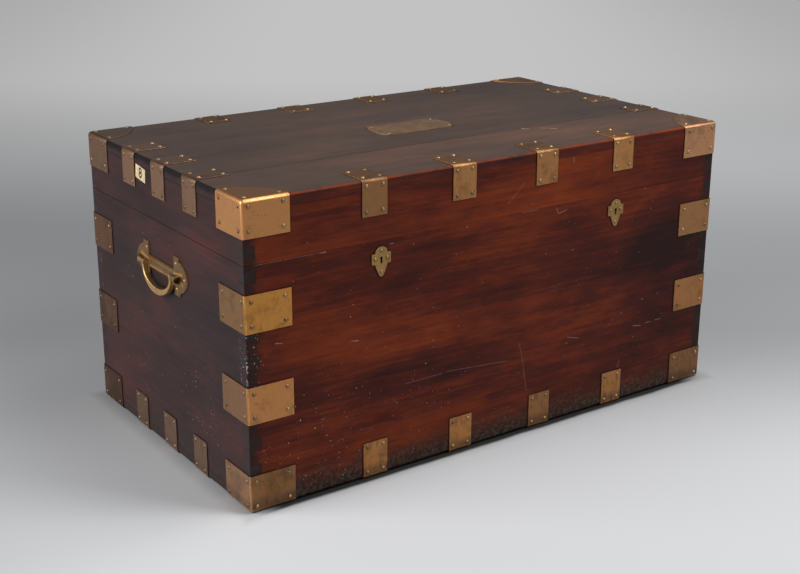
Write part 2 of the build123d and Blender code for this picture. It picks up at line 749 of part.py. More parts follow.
def across_u(u):
    """The plane across the bail's axis at one u, with its y out of the wood."""
    return Plane(origin=(u, -PIVOT_DROP, PIVOT_OUT), x_dir=(0, 1, 0), z_dir=(1, 0, 0))


def horn(shrink, foot, u_from, u_to):
    """Part of the widening arch of a hood, thinner than its outside by a given amount."""
    slope = (HOOD_FOOT_R - HOOD_NECK_R) / (HOOD_FOOT - HOOD_IN)
    ends = []
    for u in (u_from, u_to):
        radius = HOOD_NECK_R + slope * (u - HOOD_IN) - shrink
        ends.append(across_u(u) * arch_face(radius, foot))
    return loft(ends)


def hood():
    """The right-hand hood: the socket that the bail turns in, hollow and open outwards."""
    body = horn(0, 0, HOOD_IN, HOOD_FOOT)
    apex_h = PIVOT_OUT + HOOD_FOOT_R
    mouth = Polyline(
        (HOOD_APEX, apex_h + MARGIN),
        (HOOD_APEX, apex_h),
        (HOOD_FOOT, GRIP_PLATE_T),
        (HOOD_FOOT + MARGIN, GRIP_PLATE_T),
        (HOOD_FOOT + MARGIN, apex_h + MARGIN),
        close=True,
    )
    side_view = Plane(origin=(0, 0, 0), x_dir=(1, 0, 0), z_dir=(0, -1, 0))
    body -= extrude(side_view * make_face(mouth), WING_HALF_H, both=True)
    pocket_start = HOOD_IN + HOOD_BLOCK
    pocket = horn(HOOD_WALL, GRIP_PLATE_T, pocket_start, HOOD_FOOT + MARGIN)
    bore_face = across_u(HOOD_IN - MARGIN) * Circle(TRUNNION_R + TRUNNION_FIT)
    bore = extrude(bore_face, HOOD_BLOCK + 2 * MARGIN)
    return (body - pocket) - bore


def handle_plate(sx):
    """The handle's plate: two wings, the bar between them and a hood on each wing."""
    plate = block((-WING_IN, WING_IN), (-BAR_HALF_H, BAR_HALF_H), (0, GRIP_PLATE_T))
    rim_end = WING_IN - BAR_RIM_CLEAR
    for s in (-1, 1):
        rim_v = (s * BAR_HALF_H, s * (BAR_HALF_H - BAR_RIM_W))
        plate += block((-rim_end, rim_end), rim_v, (0, GRIP_PLATE_T + BAR_RIM_H))
    end = extrude(wing_face(), GRIP_PLATE_T) + hood()
    return handle_frame(sx) * (plate + end + mirror(end, Plane.YZ))


def bail_ring():
    """The bail flat in its own plane: u across, v up, its axis along u at v = 0."""
    outer_b = BAIL_DROP - BAIL_STRAIGHT
    inner_a = BAIL_HALF_W - BAIL_ARM_W
    inner_b = BAIL_DROP - GRIP_H - BAIL_EYE_R
    outer = Pos(0, -BAIL_STRAIGHT / 2) * Rectangle(2 * BAIL_HALF_W, BAIL_STRAIGHT)
    outer += Pos(0, -BAIL_STRAIGHT) * Ellipse(BAIL_HALF_W, outer_b)
    opening = Pos(0, -BAIL_EYE_R / 2) * Rectangle(2 * inner_a, BAIL_EYE_R)
    opening += Pos(0, -BAIL_EYE_R) * Ellipse(inner_a, inner_b)
    above = Pos(0, BAIL_DROP / 2) * Rectangle(2 * (BAIL_HALF_W + MARGIN), BAIL_DROP)
    ring = outer - opening - above
    solid = extrude(ring, BAIL_T / 2, both=True)
    flats = solid.faces().filter_by(Axis.Z)
    rims = [edge for flat in flats for edge in flat.edges() if edge.center().Y < -TRUNNION_FIT]
    return fillet(rims, (min(BAIL_ARM_W, BAIL_T) - BAIL_FLAT) / 2)


def bail():
    """The bail with its eyes and trunnions, axis along u through the local origin."""
    body = bail_ring()
    across = Rot(0, 90, 0)
    root, tip = BAIL_HALF_W - BAIL_ARM_W / 2, BAIL_HALF_W + TRUNNION_L
    for s in (-1, 1):
        body += Pos(s * root, 0, 0) * across * Cylinder(BAIL_EYE_R, BAIL_ARM_W)
        body += Pos(s * (root + tip) / 2, 0, 0) * across * Cylinder(TRUNNION_R, tip - root)
    return body


def handle_bail(sx):
    """The bail of one handle, hanging on its stop."""
    hang = Pos(0, -PIVOT_DROP, PIVOT_OUT) * Rot(-BAIL_LEAN, 0, 0)
    return handle_frame(sx) * hang * bail()


def handle_places(sx):
    """Pin places on one handle's plate."""
    frame = handle_frame(sx).location
    lug_u, lug_v = WING_IN + WING_PIN_IN, WING_HALF_H - WING_PIN_DROP
    spots = [(lug_u, -lug_v), (lug_u, lug_v), (WING_IN + WING_L - NOSE_PIN_IN, 0)]
    return [frame * Pos(s * u, v, GRIP_PLATE_T) for s in (-1, 1) for u, v in spots]


# ---- The chest -----------------------------------------------------------------------
def main():
    """Build every node and write it to parts/."""
    os.makedirs("parts", exist_ok=True)
    corners = [(f"{end}_{side}", sx, sy) for end, sy in ENDS.items() for side, sx in SIDES.items()]
    lock_xs = {side: s * LOCK_X for side, s in SIDES.items()}
    hinge_xs = {side: s * HINGE_X for side, s in SIDES.items()}

    # Pin and screw places.
    lid_places = []
    base_places = []
    for _, sx, sy in corners:
        lid_places += corner_leaf_places(sx, sy, BRASS_TOP - CAP_H, BRASS_TOP)
        lid_places += cap_flat_places(sx, sy, BRASS_TOP, UP)
        base_places += corner_leaf_places(sx, sy, 0, FOOT_CAP_H)
        for low, high in angle_levels():
            base_places += corner_leaf_places(sx, sy, low, high)
    lid_places += strap_face_places((BRASS_TOP - PIN_INSET, BRASS_TOP - STRAP_LEAF + STRAP_PIN_INSET))
    lid_places += strap_flat_places()
    base_places += strap_face_places((PIN_INSET, FOOT_STRAP_H - STRAP_PIN_INSET))
    shield_pins = [place for cx in lock_xs.values() for place in shield_places(cx)]
    handle_pins = [place for sx in SIDES.values() for place in handle_places(sx)]
    plate_pins = lid_plate_places()
    base_screws = []
    lid_screws = []
    for side in SIDES:
        base_screws += lock_screw_places(lock_xs[side])
        base_screws += hinge_screw_places(hinge_xs[side], BASE_TOP, UP)
        lid_screws += link_screw_places(lock_xs[side])
        lid_screws += hinge_screw_places(hinge_xs[side], LID_FOOT, DOWN)

    base_drills = placed(PIN_DRILL, base_places + shield_pins + handle_pins)
    base_drills += placed(SCREW_DRILL, base_screws)
    lid_drills = placed(PIN_DRILL, lid_places + plate_pins)
    lid_drills += placed(SCREW_DRILL, lid_screws)

    # Wood.
    base_leaf_z = (BASE_TOP - HINGE_LEAF_T, BASE_TOP)
    lid_leaf_z = (LID_FOOT, LID_FOOT + HINGE_LEAF_T)
    base_cuts = [cut for cx in lock_xs.values() for cut in lock_mortises(cx)]
    base_cuts += [hinge_mortise(cx, (base_leaf_z[0], BASE_TOP + MARGIN)) for cx in hinge_xs.values()]
    lid_cuts = [link_mortise(cx) for cx in lock_xs.values()]
    lid_cuts += [hinge_mortise(cx, (LID_FOOT - MARGIN, lid_leaf_z[1])) for cx in hinge_xs.values()]
    base_joint = dovetail_pins(WALL_FOOT, BASE_TOP, BASE_PIN_COUNT, BASE_PIN_TOP, BASE_PIN_FOOT)
    lid_joint = dovetail_pins(LID_FOOT, RAIL_TOP, LID_PIN_COUNT, LID_PIN_TOP, LID_PIN_FOOT)
    for name, board in walls(WALL_FOOT, BASE_TOP, base_joint).items():
        save(f"base_{name}_board", [cut_by(board, base_cuts + base_drills)])
    for name, board in zip(("front", "rear"), slab(FLOOR_LOW, WALL_FOOT, BOTTOM_FRONT_BOARD)):
        save(f"bottom_{name}_board", [cut_by(board, base_drills)])
    for name, board in walls(LID_FOOT, RAIL_TOP, lid_joint).items():
        save(f"lid_{name}_rail", [cut_by(board, lid_cuts + lid_drills)])
    for name, board in zip(("front", "rear"), slab(RAIL_TOP, WOOD_TOP, TOP_FRONT_BOARD)):
        save(f"lid_top_{name}_board", [cut_by(board, lid_drills)])

    # Brass binding.
    for name, sx, sy in corners:
        cap = BRASS_SKIN & cap_region(sx, sy, BRASS_TOP - CAP_H, BRASS_TOP + MARGIN)
        save(f"lid_cap_{name}", [cut_by(cap, lid_drills)])
        foot = BRASS_SKIN & cap_region(sx, sy, -MARGIN, FOOT_CAP_H)
        save(f"foot_cap_{name}", [cut_by(foot, base_drills)])
        for i, (low, high) in enumerate(angle_levels(), 1):
            angle = BRASS_SKIN & corner_region(sx, sy, low, high)
            save(f"corner_angle_{name}_{i}", [cut_by(angle, base_drills)])
    lid_straps = strap_regions(BRASS_TOP - STRAP_LEAF, BRASS_TOP + MARGIN)
    foot_straps = strap_regions(-MARGIN, FOOT_STRAP_H)
    for kind, lid_group, foot_group in zip(("long", "end"), lid_straps, foot_straps):
        save(f"lid_{kind}_straps", [cut_by(BRASS_SKIN & region, lid_drills) for region in lid_group])
        save(f"foot_{kind}_straps", [cut_by(BRASS_SKIN & region, base_drills) for region in foot_group])
    save("lid_binding_pins", placed(PIN, lid_places))
    save("base_binding_pins", placed(PIN, base_places))

    # Fittings.
    for side, cx in lock_xs.items():
        save(f"{side}_escutcheon", [cut_by(escutcheon(cx), base_drills)])
        save(f"{side}_lock_case", [cut_by(lock_case(cx), base_drills)])
        save(f"{side}_lock_bolt", [lock_bolt(cx)])
        save(f"{side}_lock_link", [cut_by(link_plate(cx), lid_drills)])
    save("escutcheon_pins", placed(PIN, shield_pins))
    save("lid_plate", [cut_by(lid_plate(), lid_drills)])
    save("lid_plate_pins", placed(PIN, plate_pins))
    save("number_tag", [number_tag()])
    for side, cx in hinge_xs.items():
        own = range(0, KNUCKLES, 2)
        other = range(1, KNUCKLES, 2)
        save(f"{side}_hinge_base_leaf", [cut_by(hinge_leaf(cx, base_leaf_z, own), base_drills)])
        save(f"{side}_hinge_lid_leaf", [cut_by(hinge_leaf(cx, lid_leaf_z, other), lid_drills)])
        save(f"{side}_hinge_pin", [hinge_pin(cx)])
    save("base_fitting_screws", placed(SCREW, base_screws))
    save("lid_fitting_screws", placed(SCREW, lid_screws))
    for side, sx in SIDES.items():
        save(f"{side}_handle_plate", [cut_by(handle_plate(sx), base_drills)])
        save(f"{side}_handle_bail", [handle_bail(sx)])
    save("handle_pins", placed(PIN, handle_pins))


main()
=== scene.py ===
"""A brass-bound mahogany sea chest, dressed for the studio."""

from __future__ import annotations

import logging
import math
import random
from dataclasses import dataclass, replace
from enum import Enum
from functools import cached_property, reduce

import bmesh
import bpy
from mathutils import Matrix, Vector

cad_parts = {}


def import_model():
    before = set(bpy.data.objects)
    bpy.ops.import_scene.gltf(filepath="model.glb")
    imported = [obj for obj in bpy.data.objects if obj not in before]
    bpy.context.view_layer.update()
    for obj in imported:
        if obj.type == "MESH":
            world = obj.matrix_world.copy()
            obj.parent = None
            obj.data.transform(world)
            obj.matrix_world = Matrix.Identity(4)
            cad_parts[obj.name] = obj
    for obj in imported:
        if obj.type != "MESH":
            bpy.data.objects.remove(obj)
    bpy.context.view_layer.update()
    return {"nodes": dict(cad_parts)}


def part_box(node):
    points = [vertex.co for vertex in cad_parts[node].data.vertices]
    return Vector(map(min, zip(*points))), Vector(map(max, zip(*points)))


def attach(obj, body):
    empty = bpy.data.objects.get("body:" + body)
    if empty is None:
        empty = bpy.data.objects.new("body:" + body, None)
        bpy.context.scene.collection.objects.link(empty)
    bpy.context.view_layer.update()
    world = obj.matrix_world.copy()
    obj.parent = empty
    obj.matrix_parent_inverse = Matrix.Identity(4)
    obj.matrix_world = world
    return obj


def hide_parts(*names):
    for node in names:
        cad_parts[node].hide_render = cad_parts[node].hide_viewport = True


LOG = logging.getLogger("sea_chest")
MM = 0.001

Colour = tuple[float, float, float]
Spot = tuple[float, float, float]
Tones = tuple[Colour, Colour, Colour]

FRESH_WOOD: Tones = ((0.0175, 0.0052, 0.0046), (0.061, 0.0098, 0.0052), (0.175, 0.029, 0.0060))
TONE_STOPS = (0.30, 0.50, 0.78)  # where the figure of the wood takes its dark, middle and light tone


@dataclass(frozen=True)
class ChestSizes:
    """Places that the finishes follow, in metres from the chest's middle and the floor."""

    wood_x: float
    wood_y: float
    wood_top: float
    brass_x: float
    brass_y: float
    top_joint: float

    @classmethod
    def of_frame(cls) -> ChestSizes:
        """Measure the lid's front top board, up to the joint, and a corner cap at the foot.

        Returns:
            The sizes.
        """
        board_low, board_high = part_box("lid_top_front_board")
        cap_low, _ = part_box("foot_cap_front_left")
        return cls(
            wood_x=board_high.x,
            wood_y=-board_low.y,
            wood_top=board_high.z,
            brass_x=-cap_low.x,
            brass_y=-cap_low.y,
            top_joint=board_high.y,
        )


# ---- Shader maths --------------------------------------------------------------------


class Wire:
    """One socket of a material, with arithmetic that adds Math nodes."""

    def __init__(self, bench: Bench, socket: bpy.types.NodeSocket) -> None:
        """Keep the socket and the bench that it belongs to."""
        self.bench = bench
        self.socket = socket

    def __add__(self, other: Wire | float) -> Wire:
        """Sum."""
        return self.bench.maths("ADD", self, other)

    def __radd__(self, other: float) -> Wire:
        """Sum, reflected."""
        return self.bench.maths("ADD", other, self)

    def __sub__(self, other: Wire | float) -> Wire:
        """Difference."""
        return self.bench.maths("SUBTRACT", self, other)

    def __rsub__(self, other: float) -> Wire:
        """Difference, reflected."""
        return self.bench.maths("SUBTRACT", other, self)

    def __mul__(self, other: Wire | float) -> Wire:
        """Product."""
        return self.bench.maths("MULTIPLY", self, other)

    def __rmul__(self, other: float) -> Wire:
        """Product, reflected."""
        return self.bench.maths("MULTIPLY", other, self)

    def __abs__(self) -> Wire:
        """Size without its sign."""
        return self.bench.maths("ABSOLUTE", self)

    def least(self, other: Wire | float) -> Wire:
        """Smaller of the two."""
        return self.bench.maths("MINIMUM", self, other)

    def most(self, other: Wire | float) -> Wire:
        """Larger of the two."""
        return self.bench.maths("MAXIMUM", self, other)

    def root(self) -> Wire:
        """Square root."""
        return self.bench.maths("SQRT", self)

    def held(self) -> Wire:
        """Held between 0 and 1."""
        return self.bench.node("ShaderNodeClamp", {}, {"Value": self})

    def step(self, low: float, high: float, start: float = 0.0, end: float = 1.0) -> Wire:
        """Smooth rise between two values.

        Args:
            low: value at which the rise starts.
            high: value at which it ends; below `low` the rise runs backwards.
            start: result below `low`.
            end: result above `high`.

        Returns:
            The risen value.
        """
        if high < low:
            low, high, start, end = high, low, end, start
        return self.bench.node(
            "ShaderNodeMapRange",
            {"interpolation_type": "SMOOTHSTEP"},
            {"Value": self, "From Min": low, "From Max": high, "To Min": start, "To Max": end},
        )


class Bench:
    """A material being made: its node tree, its coordinates and its shader."""

    share_in, first_in, second_in, colour_out = 0, 6, 7, 2  # a Mix node's sockets for colours

    def __init__(self, name: str) -> None:
        """Start a material with one Principled shader.

        Args:
            name: name of the material.
        """
        self.material = bpy.data.materials.new(name)
        self.material.use_nodes = True
        self.tree = self.material.node_tree
        self.tree.nodes.clear()
        self.shader = self.tree.nodes.new("ShaderNodeBsdfPrincipled")
        self.surface = self.tree.nodes.new("ShaderNodeOutputMaterial").inputs["Surface"]
        self.tree.links.new(self.shader.outputs[0], self.surface)
        self.place = self.node("ShaderNodeTexCoord", {}, {}, "Object")

    @cached_property
    def spot(self) -> tuple[Wire, Wire, Wire]:
        """Place of the shaded point along x, y and z."""
        return self.axes(self.place)

    @cached_property
    def facing(self) -> tuple[Wire, Wire, Wire]:
        """Way that the surface faces along x, y and z."""
        return self.axes(self.node("ShaderNodeTexCoord", {}, {}, "Normal"))

    def node(self, kind: str, settings: dict, sockets: dict, output: str | int = 0) -> Wire:
        """Add one node.

        Args:
            kind: type of the node.
            settings: properties, set before the sockets; `stops` fills a colour ramp.
            sockets: values or wires by name or number of the input.
            output: the output that is wanted.

        Returns:
            That output.
        """
        made = self.tree.nodes.new(kind)
        for key, value in settings.items():
            if key == "stops":
                self.fill_ramp(made.color_ramp, value)
            else:
                setattr(made, key, value)
        for key, value in sockets.items():
            self.feed(made.inputs[key], value)
        return Wire(self, made.outputs[output])

    def fill_ramp(self, ramp: bpy.types.ColorRamp, stops: list[tuple[float, Colour]]) -> None:
        """Give a colour ramp its stops.

        Args:
            ramp: the ramp.
            stops: place and colour of each stop.
        """
        while len(ramp.elements) < len(stops):
            ramp.elements.new(0.5)
        for element, (spot, colour) in zip(ramp.elements, stops):
            element.position = spot
            element.color = (*colour, 1.0)

    def feed(self, socket: bpy.types.NodeSocket, value: Wire | float | tuple) -> None:
        """Link a wire to a socket, or set its value.

        Args:
            socket: an input.
            value: the wire or the value.
        """
        if isinstance(value, Wire):
            self.tree.links.new(value.socket, socket)
        elif socket.type == "RGBA" and len(value) == 3:
            socket.default_value = (*value, 1.0)
        else:
            socket.default_value = value

    def maths(self, operation: str, *terms: Wire | float) -> Wire:
        """One Math node."""
        return self.node("ShaderNodeMath", {"operation": operation}, dict(enumerate(terms)))

    def mix(
        self,
        share: Wire | float,
        first: Wire | Colour,
        second: Wire | Colour,
        blend: str = "MIX",
    ) -> Wire:
        """Blend two colours.

        Args:
            share: how much of the second comes in.
            first: colour at a share of 0.
            second: colour that comes in.
            blend: way of blending.

        Returns:
            The blended colour.
        """
        settings = {"data_type": "RGBA", "blend_type": blend}
        sockets = {self.share_in: share, self.first_in: first, self.second_in: second}
        return self.node("ShaderNodeMix", settings, sockets, self.colour_out)

    def ramp(self, value: Wire, tones: Tones) -> Wire:
        """Colour a value by its dark, middle and light tone."""
        stops = list(zip(TONE_STOPS, tones))
        return self.node("ShaderNodeValToRGB", {"stops": stops}, {0: value})

    def axes(self, vector: Wire) -> tuple[Wire, Wire, Wire]:
        """Take a vector apart.

        Args:
            vector: the vector.

        Returns:
            Its parts along x, y and z.
        """
        parts = self.node("ShaderNodeSeparateXYZ", {}, {0: vector})
        outs = parts.socket.node.outputs
        return Wire(self, outs[0]), Wire(self, outs[1]), Wire(self, outs[2])

    def vector(self, x: Wire | float, y: Wire | float, z: Wire | float) -> Wire:
        """A vector of three parts."""
        return self.node("ShaderNodeCombineXYZ", {}, {0: x, 1: y, 2: z})

    def noise(
        self, place: Wire, scale: float, detail: float = 2.0, rough: float = 0.5, bend: float = 0.0
    ) -> Wire:
        """Fractal noise.

        Args:
            place: where it is read.
            scale: features per metre.
            detail: octaves.
            rough: share of each finer octave.
            bend: distortion.

        Returns:
            Its value, about 0.5 in the mean.
        """
        sockets = {
            "Vector": place,
            "Scale": scale,
            "Detail": detail,
            "Roughness": rough,
            "Distortion": bend,
        }
        return self.node("ShaderNodeTexNoise", {}, sockets)

    def crevice(self, reach: float, gain: float) -> Wire:
        """How deep in a crevice a point lies.

        Args:
            reach: how far off a neighbour counts, in metres.
            gain: how fast the value rises as the room closes in.

        Returns:
            0 in the open, 1 in a crevice.
        """
        sockets = {"Distance": reach}
        opening = self.node("ShaderNodeAmbientOcclusion", {"samples": 6}, sockets, "AO")
        return ((1 - opening) * gain).held()

    def bump(self, height: Wire, depth: float) -> Wire:
        """Normal of a surface that stands `height` times `depth` metres proud."""
        sockets = {"Height": height, "Distance": depth, "Strength": 1.0}
        return self.node("ShaderNodeBump", {}, sockets)

    def finish(self, **sockets: Wire | float | tuple) -> bpy.types.Material:
        """Set the shader's sockets, named with underscores for spaces.

        Args:
            sockets: values or wires of the shader.

        Returns:
            The material.
        """
        for key, value in sockets.items():
            self.feed(self.shader.inputs[key.replace("_", " ")], value)
        return self.material


# ---- Finishes ------------------------------------------------------------------------


class Grain(Enum):
    """Way that a board's grain runs, as the order of along, across and through."""

    LENGTHWISE = (0, 2, 1)
    FRONT_TO_BACK = (1, 2, 0)
    FLAT = (0, 1, 2)


@dataclass(frozen=True)
class Scratch:
    """A fine scratch in the polish, in millimetres in the plane of its board."""

    from_x: float
    from_y: float
    to_x: float
    to_y: float
    width: float = 0.7
    strength: float = 0.6

    def mask(self, x: Wire, y: Wire) -> Wire:
        """Draw the scratch.

        Args:
            x: place along the board.
            y: place across it.

        Returns:
            Its strength on the scratch, 0 beside it.
        """
        run_x, run_y = (self.to_x - self.from_x) * MM, (self.to_y - self.from_y) * MM
        run_squared = max(run_x**2 + run_y**2, 1e-9)  # a dot hardly runs at all
        dx, dy = x - self.from_x * MM, y - self.from_y * MM
        along = ((dx * run_x + dy * run_y) * (1 / run_squared)).held()
        off_x, off_y = dx - along * run_x, dy - along * run_y
        away = (off_x * off_x + off_y * off_y).root()
        return away.step(self.width * MM, self.width * MM * 0.25, 0.0, self.strength)


@dataclass(frozen=True)
class Patch:
    """A lighter or darker area of a board, in metres in the board's plane."""

    x: float
    y: float
    half_x: float
    half_y: float
    lift: float

    def mask(self, x: Wire, y: Wire) -> Wire:
        """What the patch adds to the figure."""
        far_x, far_y = (x - self.x) * (1 / self.half_x), (y - self.y) * (1 / self.half_y)
        return (far_x * far_x + far_y * far_y).step(1.0, 0.0) * self.lift


@dataclass(frozen=True)
class FleckField:
    """A patch of paint flecks: its middle, its reach in metres and how thick they lie."""

    middle: Spot
    reach: float
    thick: float = 0.05

    def mask(self, bench: Bench, dots: Wire) -> Wire:
        """Draw the flecks.

        Args:
            bench: the material.
            dots: the noise whose peaks are flecks.

        Returns:
            1 on a fleck, 0 beside it.
        """
        ends = {0: bench.place, 1: self.middle}
        away = bench.node("ShaderNodeVectorMath", {"operation": "DISTANCE"}, ends, 1)
        share = away.step(self.reach, self.reach * 0.3, 0.0, self.thick)
        return (dots + share).step(0.775, 0.81)


@dataclass(frozen=True)
class Mahogany:
    """Old polished mahogany with long streaks, cloudy figure and dark end grain.

    A board with tones for its edges is one of the lid's two top boards.
    """

    name: str
    grain: Grain
    tones: Tones = FRESH_WOOD
    edge_tones: Tones | None = None
    contrast: float = 0.95
    seed: float = 0.0
    rough: float = 0.42
    specular: float = 0.08
    relief: float = 0.10 * MM
    haze: Colour = (0.10, 0.08, 0.075)
    haze_share: float = 0.015
    end: Colour = (0.0275, 0.0185, 0.0190)
    end_show: float = 0.85
    corner: Colour = (0.0150, 0.0105, 0.0095)
    corner_dirt: float = 0.85
    foot_dirt: float = 0.0
    foot_grime: Colour = (0.020, 0.0140, 0.0105)
    foot_dust: Colour = (0.062, 0.045, 0.034)
    # warm worn polish with a painted highlight on the front and back top edges, then painted black
    # shade on the ends' top edges and just under them
    rubbed_highlight: Colour = (0.20, 0.036, 0.010)
    edge_shade: Colour = (0.004, 0.0035, 0.0035)
    seam: Colour = (0.008, 0.006, 0.005)
    # colour multiplied into crevices as painted shade
    crevice_shade_colour: Colour = (0.12, 0.11, 0.10)
    chip: Colour = (0.42, 0.38, 0.32)
    scratch: Colour = (0.42, 0.30, 0.24)
    paint: Colour = (0.46, 0.42, 0.36)
    scratches: tuple[Scratch, ...] = ()
    patches: tuple[Patch, ...] = ()
    flecks: tuple[FleckField, ...] = ()

    def make(self, sizes: ChestSizes) -> bpy.types.Material:
        """Build the material.

        Args:
            sizes: sizes of the chest.

        Returns:
            The material.
        """
        bench = Bench(self.name)
        x, y, _ = bench.spot
        haze = bench.noise(bench.place, 9.0, 4, 0.6)
        ends = abs(bench.facing[self.grain.value[0]]).step(0.65, 0.80)
        outward = x * bench.facing[0] + y * bench.facing[1] + bench.facing[2] * 0.2
        outward = outward.step(0.0, 0.02)
        warm, black = self.edge_wear_and_light(bench)
        figure, lines, fibre = self.figure(bench)
        colour = self.polish(bench, figure, haze)
        # worn polish and a painted highlight on the front and back top edges, painted black shade on
        # the ends' top edges
        colour = bench.mix(warm * 0.85, colour, self.rubbed_highlight)
        colour = bench.mix(black, colour, self.edge_shade)
        colour = self.soiled_and_shaded(bench, sizes, colour, ends, outward)
        colour = bench.mix(self.chipped_arris(bench), colour, self.chip)
        height = lines * 0.5 + fibre * 0.5
        if self.scratches:
            marks = self.scratch_marks(bench) * (1 - ends) * outward
            colour = bench.mix(marks, colour, self.scratch)
            height = height - marks * 2.0
        if self.flecks:
            dots = bench.noise(bench.place, 290.0, 1, 0.5)
            spots = reduce(Wire.most, (flecks.mask(bench, dots) for flecks in self.flecks))
            colour = bench.mix(spots * outward * 0.8, colour, self.paint)
        rough = fibre * 0.16 + haze * 0.16 + (self.rough - 0.16)
        return bench.finish(
            Base_Color=colour,
            Roughness=rough + ends * 0.15 + warm * 0.35,
            Specular_IOR_Level=self.specular,
            Normal=bench.bump(height, self.relief),
        )

    def figure(self, bench: Bench) -> tuple[Wire, Wire, Wire]:
        """Draw the figure of the wood.

        Args:
            bench: the material.

        Returns:
            The figure, about 0.5 in the mean, and its fine lines and fibre alone.
        """
        along, across, through = (bench.spot[axis] for axis in self.grain.value)

        def layer(course: Wire, long: float, fine: float, detail: float, rough: float) -> Wire:
            """Noise with `long` features a metre along the grain and `fine` across it."""
            spot = bench.vector(along * long + self.seed, course * fine, through * fine)
            return bench.noise(spot, 1.0, detail, rough)

        wavy = across + (layer(across, 2.6, 4, 2, 0.5) - 0.5) * 0.022
        bands = layer(wavy, 1.3, 17, 3, 0.6)
        mottle = layer(wavy, 15, 42, 4, 0.6)
        cloud = layer(across, 3.2, 7, 4, 0.5)
        thread = bench.vector(along * 6.0, wavy * 150 + self.seed, through * 150)
        lines = bench.noise(thread, 1.0, 4, 0.65)
        fibre = bench.noise(bench.vector(along * 45, wavy * 700, through * 700), 1.0, 2, 0.6)
        figure = bands * 0.40 + lines * 0.36 + fibre * 0.24 + mottle * 0.34 + cloud * 0.60 - 0.97
        figure = figure * self.contrast + 0.50
        for patch in self.patches:
            figure = figure + patch.mask(along, across)
        return figure, lines, fibre

    def polish(self, bench: Bench, figure: Wire, haze: Wire) -> Wire:
        """Colour the figure and lay a thin haze over it.

        Args:
            bench: the material.
            figure: figure of the wood.
            haze: unevenness of the haze.

        Returns:
            The colour.
        """
        lengthways = abs(bench.facing[1])
        colour = bench.ramp(figure, self.tones)
        veil = haze.step(0.35, 0.75, 0.3, 1.0) * self.haze_share
        if self.edge_tones:
            fresh = lengthways.step(0.35, 0.75).most(bench.facing[2].step(-0.5, -0.9))
            colour = bench.mix(fresh, colour, bench.ramp(figure, self.edge_tones))
            veil = veil * lengthways.step(0.75, 0.35)
        return bench.mix(veil, colour, self.haze)

    def soiled_and_shaded(
        self, bench: Bench, sizes: ChestSizes, colour: Wire, ends: Wire, outward: Wire
    ) -> Wire:
        """Lay dirt at the foot and the corners, darken the end grain and the seam, and paint shade on
        the ends just under the top and in the crevices.

        Args:
            bench: the material.
            sizes: sizes of the chest.
            colour: colour of the clean board.
            ends: 1 on end grain.
            outward: 1 on faces that look out of the chest.

        Returns:
            The colour.
        """
        x, y, z = bench.spot
        wear = bench.noise(bench.place, 38.0, 5, 0.65)
        uneven = wear - 0.5
        foot = (z + uneven * 0.07).step(0.058, 0.010) * self.foot_dirt
        foot = foot * outward * (1 - bench.facing[2].step(0.5, 0.9))
        dust = bench.noise(bench.place, 160.0, 4, 0.65).step(0.40, 0.66)
        colour = bench.mix(foot, colour, bench.mix(dust, self.foot_grime, self.foot_dust))
        inset = (sizes.wood_x - abs(x)).most(sizes.wood_y - abs(y)) + uneven * 0.045
        corner = inset.step(0.030, 0.006) * self.corner_dirt * (1 - ends)
        colour = bench.mix(corner, colour, self.corner)
        speckle = bench.noise(bench.place, 700.0, 3, 0.6)
        end_colour = bench.mix(speckle, self.end, tuple(part * 1.6 for part in self.end))
        colour = bench.mix(ends * wear.step(0.34, 0.60, self.end_show, 1.0), colour, end_colour)
        # painted shade on faces that look to the ends, darkest just under their top edge
        brow_shade = (z + uneven * 0.008).step(sizes.wood_top - 13.8 * MM, sizes.wood_top - 2.8 * MM)
        brow_shade = brow_shade * abs(bench.facing[0]).step(0.60, 0.85)
        colour = bench.mix(brow_shade * 0.9, colour, self.edge_shade)
        if self.edge_tones:
            seam = abs(y - sizes.top_joint).step(1.4 * MM, 0.5 * MM)
            seam = seam * wear.step(0.25, 0.60, 0.45, 0.95)
            colour = bench.mix(seam, colour, self.seam)
        # painted shade in crevices, beside the brass and around the pins
        return bench.mix(bench.crevice(7 * MM, 1.8) * 0.9, colour, self.crevice_shade_colour, "MULTIPLY")

    def scratch_marks(self, bench: Bench) -> Wire:
        """Draw the scratches, broken up along their run.

        Args:
            bench: the material.

        Returns:
            Their strength.
        """
        along, across, _ = (bench.spot[axis] for axis in self.grain.value)
        marks = reduce(Wire.most, (scratch.mask(along, across) for scratch in self.scratches))
        return marks * bench.noise(bench.place, 420.0, 2, 0.6).step(0.36, 0.52, 0.25, 1.0)

    def edge_wear_and_light(self, bench: Bench) -> tuple[Wire, Wire]:
        """Wear the front and back rounded top edges to warm wood with handling, with a painted
        highlight, and paint the ends' rounded top edges black as shade.

        Args:
            bench: the material.

        Returns:
            The share of warm wood with a painted highlight on the front and back edges, and of
            painted black shade on the ends'.
        """
        side_x, side_y, rise = abs(bench.facing[0]), abs(bench.facing[1]), bench.facing[2]
        wear = bench.noise(bench.place, 45.0, 4, 0.6)
        rounded = rise.step(0.20, 0.50) * rise.step(0.97, 0.80)
        warm = side_y.step(0.25, 0.50) * rounded * wear.step(0.30, 0.55)
        return warm, side_x.step(0.15, 0.40) * rounded * 0.95

    def chipped_arris(self, bench: Bench) -> Wire:
        """Chip the upright corners half way up.

        Args:
            bench: the material.

        Returns:
            The share of pale chips.
        """
        height = bench.spot[2]
        arris = abs(bench.facing[0]).least(abs(bench.facing[1])).step(0.10, 0.35)
        span = height.step(0.17, 0.19) * height.step(0.30, 0.27)
        dots = bench.noise(bench.place, 230.0, 2, 0.6)
        return arris * span * dots.step(0.56, 0.62) * 0.85


